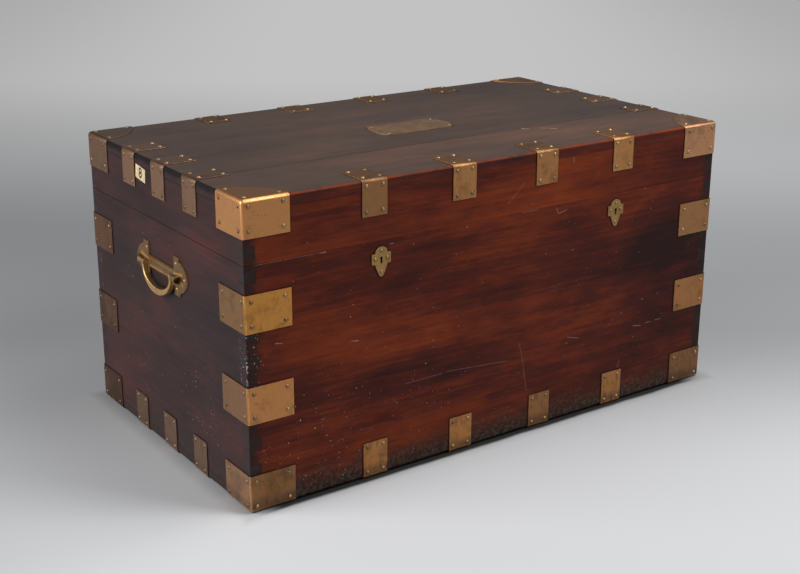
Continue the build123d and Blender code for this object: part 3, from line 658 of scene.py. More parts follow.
@dataclass(frozen=True)
class AgedBrass:
    """Old brass with patina blotches, dark specks, bright worn places and painted light and shade."""

    name: str
    bright: Colour = (0.42, 0.205, 0.080)
    brown: Colour = (0.060, 0.034, 0.020)
    crevice_shade_colour: Colour = (0.022, 0.014, 0.009)
    # grey of a painted reflection on faces that look to the ends; end_sheen is its share
    veil: Colour = (0.155, 0.142, 0.125)
    end_sheen: float = 0.0
    # painted light: how much lighter or darker faces that look to the ends and up are drawn
    light_on_ends: float = 1.0
    light_on_top: float = 0.55
    patina: float = 0.45
    rough: float = 0.42
    metal: float = 0.82
    relief: float = 0.35 * MM
    # share of painted shade in crevices
    crevice_shade_share: float = 0.9
    # painted highlight on upright bends; lip_light paints the top bends lighter or darker
    bend: float = 0.50
    lip_light: float = -0.30
    foot: bool = False

    def make(self, sizes: ChestSizes) -> bpy.types.Material:
        """Build the material.

        Args:
            sizes: sizes of the chest.

        Returns:
            The material.
        """
        bench = Bench(self.name)
        tone = bench.node("ShaderNodeAttribute", {"attribute_name": "tone"}, {}, "Fac")
        broad = bench.noise(bench.place, 11.0, 3, 0.55)
        blotch = bench.noise(bench.place, 55.0, 5, 0.65, 0.4)
        speck = bench.noise(bench.place, 260.0, 3, 0.6).step(0.64, 0.72)
        rub = bench.noise(bench.place, 140.0, 3, 0.6)
        rise = bench.facing[2]
        sideways = abs(bench.facing[0]).step(0.55, 0.85)
        upward = rise.step(0.55, 0.90)
        # painted highlight on upright bends, where patina is left off, and painted light on the top
        # bends, lighter or darker by lip_light
        bend = abs(bench.facing[0]).least(abs(bench.facing[1])).step(0.12, 0.45) * self.bend
        lip_light = rise.step(0.12, 0.40) * rise.step(0.97, 0.85) * self.lip_light
        # painted highlight on the edges of the leaves that lie on the lid's top
        rim = bench.spot[2].step(sizes.wood_top - 0.4 * MM, sizes.wood_top + 0.2 * MM) * (1 - upward)
        # painted light and shade by the way each face looks, with the piece's own tone
        light = sideways * (self.light_on_ends - 1.0) + upward * (self.light_on_top - 1.0) + 1.0 + bend
        light = (light + lip_light) * (tone * 0.30 + 0.85) + rim * 0.30
        stain = (blotch * 0.7 + broad * 0.5 - tone * 0.20).step(0.50, 0.70) * self.patina
        if self.foot:
            stain = (stain + self.foot_stain(bench, blotch)).held()
            # painted highlight along the bottom edge of the foot brass
            foot_edge_highlight = (bench.spot[2] + (blotch - 0.5) * 0.004).step(7.5 * MM, 4 * MM)
            light = light + foot_edge_highlight * 0.9
        worn = broad * 0.55 + blotch * 0.80 + tone * 0.30 - self.patina * 0.45
        aged = tuple(part * 0.50 for part in self.bright)
        colour = bench.mix(worn.step(0.34, 0.70), aged, self.bright)
        lit = {0: colour, "Scale": light}
        colour = bench.node("ShaderNodeVectorMath", {"operation": "SCALE"}, lit)
        # painted grey reflection on faces that look to the ends
        if self.end_sheen:
            colour = bench.mix(sideways * self.end_sheen, colour, self.veil)
        colour = bench.mix(stain * (1 - bend.held()), colour, self.brown)
        colour = bench.mix(speck * 0.75, colour, self.brown)
        # painted shade in crevices, weaker along the top rims; it also dulls the metal
        crevice_shade_share = bench.crevice(4.5 * MM, 3.2) * (1 - rim * 0.8) * self.crevice_shade_share
        colour = bench.mix(crevice_shade_share, colour, self.crevice_shade_colour)
        return bench.finish(
            Base_Color=colour,
            Metallic=self.metal - (crevice_shade_share + stain * 0.5).held() * 0.75,
            Roughness=rub * 0.22 + stain * 0.20 + (self.rough - 0.11),
            Normal=bench.bump(broad * 1.2 + blotch * 0.5 + rub * 0.12 - speck * 0.15, self.relief),
        )

    def foot_stain(self, bench: Bench, blotch: Wire) -> Wire:
        """Stain brass near the floor with runs and a band that damp left.

        Args:
            bench: the material.
            blotch: unevenness of the band.

        Returns:
            The stain.
        """
        x, y, z = bench.spot
        runs = bench.noise(bench.vector(x * 95, y * 95, z * 25), 1.0, 4)
        band = (z + (blotch - 0.5) * 0.012).step(26 * MM, 13 * MM)
        band = band * z.step(4.5 * MM, 8 * MM)
        return runs.step(0.55, 0.66) * 0.40 + band * 0.50


@dataclass(frozen=True)
class HingeSteel:
    """Dark oiled steel of the hinge pins."""

    name: str = "oiled_steel"
    dark: Colour = (0.10, 0.095, 0.09)
    pale: Colour = (0.20, 0.19, 0.18)

    def make(self) -> bpy.types.Material:
        """Build the material.

        Returns:
            The material.
        """
        bench = Bench(self.name)
        blotch = bench.noise(bench.place, 180.0, 4, 0.6)
        colour = bench.mix(blotch.step(0.4, 0.7), self.dark, self.pale)
        return bench.finish(Base_Color=colour, Metallic=1.0, Roughness=blotch * 0.3 + 0.25)


@dataclass(frozen=True)
class IvoryCard:
    """Yellowed ivory card of the number tag."""

    name: str = "ivory_card"
    pale: Colour = (0.60, 0.47, 0.27)
    stained: Colour = (0.44, 0.33, 0.17)
    crevice_shade_colour: Colour = (0.16, 0.11, 0.06)

    def make(self) -> bpy.types.Material:
        """Build the material.

        Returns:
            The material.
        """
        bench = Bench(self.name)
        stain = bench.noise(bench.place, 150.0, 4, 0.6)
        colour = bench.mix(stain.step(0.40, 0.70), self.pale, self.stained)
        # painted shade in the crevices
        colour = bench.mix(bench.crevice(3 * MM, 2.0) * 0.6, colour, self.crevice_shade_colour)
        return bench.finish(Base_Color=colour, Roughness=0.55, Normal=bench.bump(stain, 0.2 * MM))


@dataclass(frozen=True)
class TagInk:
    """Faded black ink of the tag's figure."""

    name: str = "tag_ink"
    black: Colour = (0.012, 0.010, 0.009)
    faded: Colour = (0.05, 0.04, 0.03)

    def make(self) -> bpy.types.Material:
        """Build the material.

        Returns:
            The material.
        """
        bench = Bench(self.name)
        fade = bench.noise(bench.place, 700.0, 3, 0.6).step(0.55, 0.85)
        return bench.finish(Base_Color=bench.mix(fade, self.black, self.faded), Roughness=0.6)


Finish = Mahogany | AgedBrass


def materials_of(finishes: dict[str, Finish], sizes: ChestSizes) -> dict[str, bpy.types.Material]:
    """Make each finish once.

    Args:
        finishes: the finish of each node.
        sizes: sizes of the chest.

    Returns:
        The material of each node.
    """
    made = {finish: finish.make(sizes) for finish in dict.fromkeys(finishes.values())}
    return {node: made[finish] for node, finish in finishes.items()}


# ---- Shaping helpers -----------------------------------------------------------------


def stand(name: str, data: bpy.types.ID) -> bpy.types.Object:
    """Put a new object into the scene.

    Args:
        name: name of the object.
        data: its mesh, lettering, lamp or camera.

    Returns:
        The object.
    """
    thing = bpy.data.objects.new(name, data)
    bpy.context.scene.collection.objects.link(thing)
    return thing


class Stock:
    """Mesh work that the sub-assemblies share, with its angles in radians."""

    same_corner = 0.002 * MM  # corners nearer than this are one
    flat_angle = math.radians(0.3)  # faces that bend less than this are one
    sharp_angle = 0.5  # edges that bend more than this are eased
    crease_angle = 0.6  # edges that bend more than this stay sharp in the shading
    least_bend = 0.005  # a face whose edges all bend less than this is flat
    wide_face = 1.0 * MM  # a face with more area than this times its rim is shaded flat

    def __init__(self, nodes: dict[str, bpy.types.Object]) -> None:
        """Keep the nodes of the frame."""
        self.nodes = nodes

    def copied(self, node: str) -> bmesh.types.BMesh:
        """Copy a node's mesh.

        Args:
            node: name of the node.

        Returns:
            The mesh with its doubles merged.
        """
        shape = bmesh.new()
        shape.from_mesh(self.nodes[node].data)
        bmesh.ops.remove_doubles(shape, verts=shape.verts, dist=self.same_corner)
        return shape

    def eased(self, node: str, width: float, small: float, segments: int) -> bmesh.types.BMesh:
        """Copy a node's mesh with its sharp edges eased.

        Args:
            node: name of the node.
            width: width of the bevel.
            small: rings of edges that are smaller than this, such as pin holes, stay sharp.
            segments: segments of the bevel.

        Returns:
            The mesh.
        """
        shape = self.copied(node)
        bmesh.ops.dissolve_limit(
            shape, angle_limit=self.flat_angle, verts=shape.verts, edges=shape.edges
        )
        sharp = {
            edge
            for edge in shape.edges
            if edge.is_manifold and edge.calc_face_angle(0.0) > self.sharp_angle
        }
        chosen: list[bmesh.types.BMEdge] = []
        while sharp:
            ring, queue = [], [sharp.pop()]
            while queue:
                edge = queue.pop()
                ring.append(edge)
                for vert in edge.verts:
                    for near in vert.link_edges:
                        if near in sharp:
                            sharp.remove(near)
                            queue.append(near)
            points = [vert.co for edge in ring for vert in edge.verts]
            spans = (max(axis) - min(axis) for axis in zip(*points))
            if max(spans) > small:
                chosen.extend(ring)
        bmesh.ops.bevel(
            shape,
            geom=chosen,
            offset=width,
            offset_type="OFFSET",
            segments=segments,
            profile=0.5,
            affect="EDGES",
            material=-1,
            clamp_overlap=True,
        )
        return shape

    def soften(self, shape: bmesh.types.BMesh) -> None:
        """Shade curved faces and eased edges smooth and leave wide flat faces flat.

        Args:
            shape: the mesh.
        """
        for face in shape.faces:
            bends = [edge.calc_face_angle(0.0) for edge in face.edges if edge.is_manifold]
            curved = any(self.least_bend < bend < self.crease_angle for bend in bends)
            face.smooth = curved and face.calc_area() <= face.calc_perimeter() * self.wide_face
        for edge in shape.edges:
            edge.smooth = not (edge.is_manifold and edge.calc_face_angle(0.0) > self.crease_angle)

    def tones(self, shape: bmesh.types.BMesh, seed: int) -> None:
        """Give every loose part of a mesh a tone of its own in the attribute `tone`.

        Args:
            shape: the mesh.
            seed: seed of the tones.
        """
        layer = shape.verts.layers.float.new("tone")
        chance = random.Random(seed)
        waiting = set(shape.verts)
        for first in list(shape.verts):
            if first not in waiting:
                continue
            waiting.discard(first)
            tone, queue = chance.random(), [first]
            while queue:
                vert = queue.pop()
                vert[layer] = tone
                for edge in vert.link_edges:
                    other = edge.other_vert(vert)
                    if other in waiting:
                        waiting.discard(other)
                        queue.append(other)

    def place(
        self,
        shape: bmesh.types.BMesh,
        node: str,
        suffix: str,
        slot: str,
        material: bpy.types.Material,
    ) -> None:
        """Turn a mesh into the piece that stands for a node.

        Args:
            shape: the finished mesh, which is freed.
            node: name of the node.
            suffix: what the piece's name adds to the node's.
            slot: name of a material slot; not used.
            material: its finish.
        """
        self.soften(shape)
        mesh = bpy.data.meshes.new(f"{node}_{suffix}")
        shape.to_mesh(mesh)
        shape.free()
        mesh.materials.append(material)
        piece = stand(mesh.name, mesh)
        body = "lid" if node.startswith("lid") else "base"
        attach(piece, body)
        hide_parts(node)
        LOG.info("%s on %s, %d faces", piece.name, body, len(mesh.polygons))

    def paint(self, node: str, material: bpy.types.Material) -> None:
        """Give a node of the frame a finish.

        Args:
            node: name of the node.
            material: its finish.
        """
        materials = self.nodes[node].data.materials
        if not materials:
            materials.append(material)
        for index in range(len(materials)):
            materials[index] = material
        LOG.info("%s finished in %s", node, material.name)


# ---- Sub-assemblies ------------------------------------------------------------------


@dataclass
class Carcase:
    """Boards of the base, the bottom and the lid."""

    stock: Stock
    sizes: ChestSizes
    ease: float = 0.30 * MM
    least_ring: float = 12 * MM  # rings of edges that are smaller stay sharp
    front_scratches: tuple[Scratch, ...] = (
        Scratch(-188, 139, -119, 140, 0.55, 0.30),
        Scratch(-108, 141, 10, 131, 0.6, 0.30),
        Scratch(36, 156, 44, 127, 0.6, 0.25),
        Scratch(44, 127, 54, 71, 0.6, 0.30),
        Scratch(139, 144, 165, 137, 0.7, 0.45),
        Scratch(290, 132, 309, 129, 0.7, 0.6),
        Scratch(319, 131.5, 331, 132, 0.7, 0.5),
        Scratch(343, 132, 355, 132, 0.7, 0.5),
        Scratch(-284, 230, -273, 228, 1.0, 0.7),
        Scratch(-412, 254, -401, 252, 0.8, 0.6),
        Scratch(-286.5, 268, -286, 268, 1.2, 0.7),
        Scratch(-282, 286, -281, 286, 1.0, 0.6),
        Scratch(138, 134, 139, 134, 1.1, 0.7),
        Scratch(262, 75, 258, 63, 0.7, 0.4),
        Scratch(85, 298, 85.5, 298, 1.0, 0.6),
        Scratch(105, 370, 109, 361, 0.8, 0.45),
        Scratch(127, 365, 109, 361, 0.8, 0.45),
        Scratch(-436, 94, -435, 94, 1.0, 0.5),
        Scratch(-393, 76, -392, 76, 1.0, 0.5),
        Scratch(-217, 367, -210, 367, 0.8, 0.6),
        Scratch(-75, 369, -74, 369, 1.0, 0.6),
        Scratch(-449, 359, -448.5, 359, 1.0, 0.5),
        Scratch(-442, 374.6, -331, 374.6, 0.6, 0.30),
        Scratch(34, 374.4, 67, 374.4, 0.6, 0.35),
        Scratch(-335, 374.2, -327, 374.2, 1.0, 0.8),
    )
    top_scratches: tuple[Scratch, ...] = (
        Scratch(146, -106, 150, -121, 2.0, 0.85),
        Scratch(148, -124, 156, -128, 1.6, 0.80),
        Scratch(177, -134, 184, -141, 1.6, 0.75),
        Scratch(187, -144, 195, -152, 1.8, 0.85),
    )
    rail_scratches: tuple[Scratch, ...] = (
        Scratch(-357, 393, -356.5, 393, 1.0, 0.6),
        Scratch(53, 386, 53.5, 386, 1.0, 0.5),
        Scratch(37, 422, 4, 393, 0.6, 0.25),
        Scratch(135, 458, 138, 441, 1.2, 0.35),
        Scratch(184, 466, 185, 457, 1.0, 0.35),
        Scratch(-190, 468, -189, 455, 1.3, 0.75),
    )
    front_patches: tuple[Patch, ...] = (
        Patch(-0.23, 0.235, 0.22, 0.075, 0.16),
        Patch(-0.02, 0.200, 0.20, 0.060, 0.08),
        Patch(0.10, 0.310, 0.22, 0.050, 0.05),
        Patch(0.38, 0.230, 0.16, 0.150, -0.21),
        Patch(-0.35, 0.330, 0.20, 0.070, 0.09),
        Patch(-0.08, 0.345, 0.24, 0.050, 0.12),
        Patch(-0.12, 0.352, 0.09, 0.014, -0.12),
        Patch(-0.15, 0.150, 0.20, 0.035, -0.10),
        Patch(-0.30, 0.120, 0.14, 0.030, 0.07),
        Patch(0.20, 0.060, 0.25, 0.050, -0.06),
    )
    rail_patches: tuple[Patch, ...] = (
        Patch(-0.15, 0.420, 0.75, 0.150, 0.10),
        Patch(-0.33, 0.440, 0.12, 0.030, -0.05),
        Patch(-0.10, 0.400, 0.16, 0.020, 0.06),
        Patch(0.30, 0.420, 0.22, 0.070, -0.08),
    )
    left_patches: tuple[Patch, ...] = (
        Patch(-0.14, 0.372, 0.09, 0.030, 0.11),
        Patch(0.02, 0.235, 0.06, 0.040, 0.10),
        Patch(0.18, 0.300, 0.10, 0.120, -0.05),
        Patch(-0.20, 0.200, 0.06, 0.150, -0.05),
    )
    top_patches: tuple[Patch, ...] = (
        Patch(0.00, -0.19, 0.70, 0.08, 0.10),
        Patch(-0.05, 0.00, 0.35, 0.22, 0.05),
        Patch(-0.38, 0.05, 0.16, 0.25, -0.10),
        Patch(0.36, 0.10, 0.16, 0.30, -0.08),
    )

    def build(self) -> None:
        """Ease and finish every board."""
        boards = {
            "mahogany_walls": self.fronts() | self.sides(),
            "mahogany_top": self.tops(),
            "mahogany_bottom": self.bottoms(),
        }
        for slot, finishes in boards.items():
            for node, material in materials_of(finishes, self.sizes).items():
                shape = self.stock.eased(node, self.ease, self.least_ring, 1)
                self.stock.place(shape, node, "eased", slot, material)

    def fronts(self) -> dict[str, Finish]:
        """Choose the wood of the front and the back.

        Returns:
            The finish of each node.
        """
        face = -self.sizes.wood_y
        flecks = (
            FleckField((-0.36, face, 0.075), 0.14),
            FleckField((-0.16, face, 0.11), 0.09, 0.035),
            FleckField((-self.sizes.wood_x, face, 0.235), 0.045, 0.10),
            FleckField((0.27, face, 0.12), 0.08, 0.03),
        )
        wood = Mahogany("mahogany_front", Grain.LENGTHWISE)
        return {
            "base_front_board": replace(
                wood,
                foot_dirt=0.75,
                scratches=self.front_scratches,
                patches=self.front_patches,
                flecks=flecks,
            ),
            "base_back_board": replace(wood, name="mahogany_back", seed=7.0, foot_dirt=0.7),
            "lid_front_rail": replace(
                wood,
                name="mahogany_lid_front",
                seed=11.0,
                scratches=self.rail_scratches,
                patches=self.rail_patches,
            ),
            "lid_back_rail": replace(wood, name="mahogany_lid_back", seed=13.0),
        }

    def sides(self) -> dict[str, Finish]:
        """Choose the greyed wood of the two ends.

        Returns:
            The finish of each node.
        """
        face = -self.sizes.wood_x
        flecks = (
            FleckField((face, -0.12, 0.13), 0.13, 0.055),
            FleckField((face, -self.sizes.wood_y, 0.235), 0.05, 0.08),
            FleckField((face, 0.10, 0.10), 0.12, 0.04),
        )
        lid = Mahogany(
            "mahogany_lid_left",
            Grain.FRONT_TO_BACK,
            tones=((0.0150, 0.0082, 0.0086), (0.0285, 0.0130, 0.0130), (0.070, 0.0185, 0.0155)),
            contrast=1.0,
            seed=17.0,
            specular=0.14,
            haze=(0.055, 0.043, 0.044),
            haze_share=0.15,
            end=(0.0125, 0.0075, 0.0062),
            end_show=0.40,
            corner=(0.0255, 0.0205, 0.0215),
        )
        base = replace(lid, name="mahogany_right", seed=5.0, foot_dirt=0.5)
        return {
            "base_left_board": replace(
                base, name="mahogany_left", seed=3.0, patches=self.left_patches, flecks=flecks
            ),
            "base_right_board": base,
            "lid_left_rail": replace(lid, patches=self.left_patches),
            "lid_right_rail": replace(lid, name="mahogany_lid_right", seed=19.0),
        }

    def tops(self) -> dict[str, Finish]:
        """Choose the faded wood of the lid's two top boards.

        Returns:
            The finish of each node.
        """
        front = Mahogany(
            "mahogany_top_front",
            Grain.FLAT,
            tones=((0.041, 0.0275, 0.0225), (0.064, 0.038, 0.028), (0.125, 0.060, 0.038)),
            edge_tones=FRESH_WOOD,
            contrast=0.85,
            seed=23.0,
            rough=0.44,
            specular=0.12,
            haze=(0.075, 0.056, 0.046),
            haze_share=0.25,
            end=(0.0245, 0.0142, 0.0150),
            corner_dirt=0.0,
            patches=self.top_patches,
        )
        rear = replace(
            front,
            name="mahogany_top_rear",
            tones=((0.034, 0.0240, 0.0212), (0.054, 0.0335, 0.0265), (0.104, 0.0525, 0.0360)),
            seed=29.0,
        )
        return {
            "lid_top_front_board": replace(front, scratches=self.top_scratches),
            "lid_top_rear_board": rear,
        }

    def bottoms(self) -> dict[str, Finish]:
        """Choose the wood of the bottom boards.

        Returns:
            The finish of each node.
        """
        front = Mahogany("mahogany_bottom_front", Grain.FLAT, seed=31.0, foot_dirt=0.9)
        rear = replace(front, name="mahogany_bottom_rear", seed=37.0)
        return {"bottom_front_board": front, "bottom_rear_board": rear}


@dataclass
class Binding:
    """Corner caps, corner angles and straps of brass sheet."""

    stock: Stock
    sizes: ChestSizes
    ease: float = 0.30 * MM
    least_ring: float = 4 * MM  # rings of edges that are smaller stay sharp
    lid_seed: int = 29080
    foot_seed: int = 21768

    def build(self) -> None:
        """Ease and finish every piece of the binding."""
        seeds = {"lid_long_straps": self.lid_seed, "foot_long_straps": self.foot_seed}
        materials = materials_of(self.finishes(), self.sizes)
        for count, (node, material) in enumerate(materials.items()):
            shape = self.stock.eased(node, self.ease, self.least_ring, 2)
            self.stock.tones(shape, seeds.get(node, count))
            self.stock.place(shape, node, "sheet", "binding_brass", material)

    def finishes(self) -> dict[str, Finish]:
        """Choose the brass of every piece.

        Returns:
            The finish of each node.
        """
        # light_on_ends paints faces that look to the ends lighter or darker, and end_sheen lays a
        # painted grey reflection on them
        golden = AgedBrass(
            "golden_brass", (0.54, 0.240, 0.051), patina=0.25, light_on_ends=0.68, end_sheen=0.28
        )
        warm = replace(
            golden, name="warm_brass", bright=(0.42, 0.183, 0.062), patina=0.35, light_on_ends=0.74
        )
        # the near cap is painted lighter on its end face and given a painted highlight on its top
        # bend
        near_cap = AgedBrass(
            "near_cap_brass",
            (0.40, 0.180, 0.064),
            patina=0.30,
            light_on_ends=1.36,
            end_sheen=0.12,
            lip_light=0.4,
        )
        far_cap = AgedBrass("far_cap_brass", (0.68, 0.345, 0.168), patina=0.35)
        strap = AgedBrass("strap_brass", (0.41, 0.190, 0.064))
        grey = AgedBrass("grey_brass", (0.195, 0.112, 0.066))
        dull = AgedBrass("dull_brass", (0.27, 0.148, 0.089))
        dim = AgedBrass("dim_brass", (0.29, 0.138, 0.054))
        deep = AgedBrass("deep_brass", (0.175, 0.080, 0.038), patina=0.50)
        foot = AgedBrass(
            "foot_brass",
            (0.265, 0.123, 0.046),
            patina=0.55,
            light_on_ends=2.05,
            end_sheen=0.32,
            foot=True,
        )
        foot_far = AgedBrass("foot_far_brass", (0.345, 0.160, 0.062), patina=0.50, foot=True)
        foot_end = AgedBrass("foot_end_brass", (0.200, 0.112, 0.067), foot=True)
        foot_strap = AgedBrass("foot_strap_brass", (0.46, 0.200, 0.061), patina=0.50, foot=True)
        return {
            "lid_cap_front_left": near_cap,
            "lid_cap_front_right": far_cap,
            "lid_cap_back_left": grey,
            "lid_cap_back_right": strap,
            "corner_angle_front_left_2": golden,
            "corner_angle_front_left_1": warm,
            "corner_angle_front_right_2": dim,
            "corner_angle_front_right_1": warm,
            "corner_angle_back_left_1": deep,
            "corner_angle_back_left_2": deep,
            "corner_angle_back_right_1": strap,
            "corner_angle_back_right_2": strap,
            "foot_cap_front_left": foot,
            "foot_cap_front_right": foot_far,
            "foot_cap_back_left": deep,
            "foot_cap_back_right": foot,
            "lid_long_straps": strap,
            "lid_end_straps": dull,
            "foot_long_straps": foot_strap,
            "foot_end_straps": foot_end,
        }


@dataclass
class Furniture:
    """Pins, escutcheons, lid plate, handles, hinges, locks and screws."""

    stock: Stock
    sizes: ChestSizes
    digit_size: float = 24 * MM
    digit_tilt: float = 7.0  # degrees
    digit_half: float = 0.06 * MM  # half of its thickness
    digit_swell: float = 0.35 * MM  # how much its strokes are fattened

    def build(self) -> None:
        """Finish every fitting."""
        materials = materials_of(self.finishes(), self.sizes)
        materials["number_tag"] = IvoryCard().make()
        steel = HingeSteel().make()
        for side in ("left", "right"):
            materials[f"{side}_hinge_pin"] = steel
        for node, material in materials.items():
            self.stock.paint(node, material)
        self.binding_pins()
        self.digit()

    def finishes(self) -> dict[str, Finish]:
        """Choose the brass of every fitting.

        Returns:
            The finish of each node.
        """
        plate = AgedBrass(
            "plate_brass", (0.58, 0.340, 0.175), patina=0.5, light_on_top=0.95, bend=0.0, lip_light=0.0
        )
        bright = AgedBrass(
            "escutcheon_brass", (0.50, 0.290, 0.095), patina=0.3, rough=0.36, bend=0.0, lip_light=0.0
        )
        # painted crevice shade: golden brown on the handle, weaker on the bail
        handle = AgedBrass(
            "handle_brass", (0.37, 0.220, 0.102), crevice_shade_share=0.8, lip_light=0.3, crevice_shade_colour=(0.46, 0.24, 0.06)
        )
        bail = AgedBrass(
            "bail_brass",
            (0.80, 0.480, 0.190),
            patina=0.2,
            rough=0.34,
            crevice_shade_share=0.4,
            bend=0.0,
            lip_light=0.0,
        )
        hinge = AgedBrass("hinge_brass", patina=0.55)
        lock = AgedBrass("lock_brass", patina=0.4)
        finishes = {
            "escutcheon_pins": bright,
            "lid_plate_pins": plate,
            "handle_pins": handle,
            "lid_plate": plate,
            "base_fitting_screws": hinge,
            "lid_fitting_screws": hinge,
        }
        paired = {
            "escutcheon": bright,
            "handle_plate": handle,
            "handle_bail": bail,
            "hinge_base_leaf": hinge,
            "hinge_lid_leaf": hinge,
            "lock_case": lock,
            "lock_bolt": lock,
            "lock_link": lock,
        }
        for part, finish in paired.items():
            finishes |= {f"left_{part}": finish, f"right_{part}": finish}
        return finishes

    def binding_pins(self) -> None:
        """Finish the round-headed pins of the binding, each with a tone of its own."""
        # the pins are painted darker on faces that look to the ends and lighter on top
        material = AgedBrass(
            "pin_brass", (0.33, 0.206, 0.093), light_on_ends=0.50, light_on_top=1.7, rough=0.48, bend=0.0, lip_light=0.0
        ).make(self.sizes)
        for node, seed in (("lid_binding_pins", 61), ("base_binding_pins", 62)):
            shape = self.stock.copied(node)
            self.stock.tones(shape, seed)
            self.stock.place(shape, node, "toned", "pin_brass", material)

    def digit(self) -> None:
        """Paint a black figure on the number tag."""
        low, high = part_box("number_tag")
        words = bpy.data.curves.new("tag_figure", "FONT")
        words.body = "8"
        words.size = self.digit_size
        words.align_x = "CENTER"
        words.align_y = "CENTER"
        words.extrude = self.digit_half
        words.offset = self.digit_swell
        flat = stand("tag_figure_text", words)
        mesh = bpy.data.meshes.new_from_object(flat)
        bpy.data.objects.remove(flat)
        middle = (low + high) / 2
        upright = Matrix.Rotation(math.radians(90), 4, "X")
        facing = Matrix.Rotation(math.radians(-90), 4, "Z")
        tilt = Matrix.Rotation(math.radians(self.digit_tilt), 4, "X")
        spot = Matrix.Translation((low.x, middle.y, middle.z))
        mesh.transform(spot @ tilt @ facing @ upright)
        mesh.materials.clear()
        mesh.materials.append(TagInk().make())
        figure = stand("tag_figure", mesh)
        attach(figure, "lid")
        LOG.info("%s on lid, %d faces", figure.name, len(mesh.polygons))


# ---- Studio --------------------------------------------------------------------------


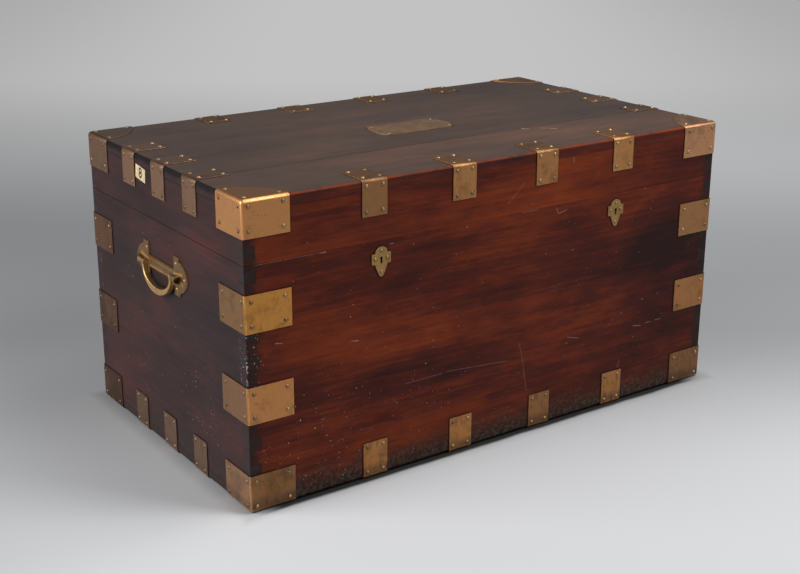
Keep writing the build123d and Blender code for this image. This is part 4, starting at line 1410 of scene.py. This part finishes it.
@dataclass
class Studio:
    """Pale floor, soft lamps and the camera.

    Angles are in degrees, and the camera's place is in shares of the chest's length. The way that
    the camera looks over the floor is look_x, look_y.
    """

    sizes: ChestSizes
    turn: float = -34.574
    rise: float = 17.869
    roll: float = 0.077
    away: float = 2.5179
    slide: float = -0.0327
    lift: float = -0.0058
    height: float = 0.5111
    lens: float = 60.28
    sensor: float = 36.0
    far_clip: float = 60.0
    shift_x: float = 0.0126
    shift_y: float = -0.0307
    look_x: float = 0.567
    look_y: float = 0.823
    floor_half: float = 14.0
    lamp_aim: Spot = (0.0, 0.0, 0.2)
    room_grey: Colour = (0.42, 0.42, 0.43)
    room_light: float = 0.5

    def build(self) -> None:
        """Set up the floor, the lamps, the room and the camera."""
        self.floor()
        self.lamp("key_box", (2.0, -2.4, 2.7), 1.6, 95.0)
        self.lamp("top_box", (0.9, -0.6, 3.0), 1.5, 45.0)
        self.lamp("left_fill", (-2.6, 0.5, 1.3), 1.8, 75.0)
        self.room()
        self.camera()
        bpy.context.scene.view_settings.view_transform = "Standard"

    def floor(self) -> None:
        """Lay a large pale floor with painted shade and painted shadows near the chest, which glows
        grey in the distance, a little darker to the sides as painted shade.
        """
        shape = bmesh.new()
        bmesh.ops.create_grid(shape, x_segments=1, y_segments=1, size=self.floor_half)
        mesh = bpy.data.meshes.new("studio_floor")
        shape.to_mesh(mesh)
        shape.free()
        bench = Bench("floor_paint")
        x, y, _ = bench.spot
        deep = x * self.look_x + y * self.look_y
        across = x * self.look_y - y * self.look_x
        # painted shade: lighter in front, darkest in a band a little behind the chest and lighter
        # again further back, with a painted shadow on the chest's left and painted shadows along its
        # foot
        tone = deep.step(-0.35, 0.32, 0.53, 0.30) + deep.step(0.75, 2.0, 0.0, 0.22)
        tone = tone * across.step(-0.25, -0.75, 1.0, 0.72) * self.contact_shadow(bench)
        paint = {0: tone * 0.985, 1: tone, 2: tone * 1.025}
        colour = bench.node("ShaderNodeCombineColor", {}, paint)
        bench.finish(Base_Color=colour, Roughness=0.85)
        # painted shade: the distant glow is a little darker to the sides
        far = 0.54 - abs(across).step(0.4, 2.4, 0.0, 0.13)
        glow = bench.node("ShaderNodeEmission", {}, {"Color": bench.vector(far, far, far)})
        seen = bench.node("ShaderNodeLightPath", {}, {}, "Is Camera Ray")
        share = deep.step(0.9, 3.2).most((x * x + y * y).root().step(2.4, 4.5)) * seen
        layers = {0: share, 1: Wire(bench, bench.shader.outputs[0]), 2: glow}
        bench.feed(bench.surface, bench.node("ShaderNodeMixShader", {}, layers))
        mesh.materials.append(bench.material)
        stand("studio_floor", mesh)

    def contact_shadow(self, bench: Bench) -> Wire:
        """Paint a shadow on the floor along the front and back of the chest and a little beside its
        ends.

        Args:
            bench: the floor's material.

        Returns:
            The share of light that is left.
        """
        x, y, _ = bench.spot
        uneven = bench.noise(bench.place, 14.0, 3, 0.6) - 0.5
        before = abs(y) - self.sizes.brass_y + uneven * 0.006
        beside = abs(x) - self.sizes.brass_x
        line = before.step(4.5 * MM, 13.5 * MM, 0.02, 1.0)
        line = line + (1 - line) * beside.step(-55 * MM, 4 * MM)
        return line * beside.most(before).step(0.0, 30 * MM, 0.72, 1.0)

    def lamp(self, name: str, place: Spot, size: float, power: float) -> None:
        """Hang one square soft lamp that points at the chest.

        Args:
            name: name of the lamp.
            place: where it hangs.
            size: side of its face.
            power: watts.
        """
        light = bpy.data.lights.new(name, "AREA")
        light.shape = "SQUARE"
        light.size = size
        light.energy = power
        lamp = stand(name, light)
        lamp.location = place
        way = Vector(self.lamp_aim) - Vector(place)
        lamp.rotation_euler = way.to_track_quat("-Z", "Y").to_euler()
        lamp.visible_camera = False

    def room(self) -> None:
        """Give the room its grey."""
        world = bpy.data.worlds.new("studio_room")
        world.use_nodes = True
        background = world.node_tree.nodes["Background"]
        background.inputs["Color"].default_value = (*self.room_grey, 1.0)
        background.inputs["Strength"].default_value = self.room_light
        bpy.context.scene.world = world

    def camera(self) -> None:
        """Set the camera up in front and to the left of the chest."""
        a, e, r = (math.radians(angle) for angle in (self.turn, self.rise, self.roll))
        back = Vector((math.sin(a) * math.cos(e), -math.cos(a) * math.cos(e), math.sin(e)))
        flat = Vector((math.cos(a), math.sin(a), 0.0))
        high = back.cross(flat)
        right = flat * math.cos(r) + high * math.sin(r)
        up = high * math.cos(r) - flat * math.sin(r)
        spot = Vector((0, 0, self.height / 2)) + back * self.away
        spot += right * self.slide + up * self.lift
        data = bpy.data.cameras.new("studio_camera")
        data.lens = self.lens
        data.sensor_width = self.sensor
        data.sensor_fit = "HORIZONTAL"
        data.shift_x = self.shift_x
        data.shift_y = self.shift_y
        data.clip_end = self.far_clip
        camera = stand("studio_camera", data)
        turn = Matrix((right, up, back)).transposed().to_4x4()
        camera.matrix_world = Matrix.Translation(spot * (2 * self.sizes.brass_x)) @ turn
        bpy.context.scene.camera = camera


# ---- The chest -----------------------------------------------------------------------


def main() -> None:
    """Dress the chest, piece by piece."""
    logging.basicConfig(level=logging.INFO, format="%(message)s")
    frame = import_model()
    stock = Stock(frame["nodes"])
    sizes = ChestSizes.of_frame()
    Carcase(stock, sizes).build()
    Binding(stock, sizes).build()
    Furniture(stock, sizes).build()
    Studio(sizes).build()


if __name__ == "__main__":
    main()
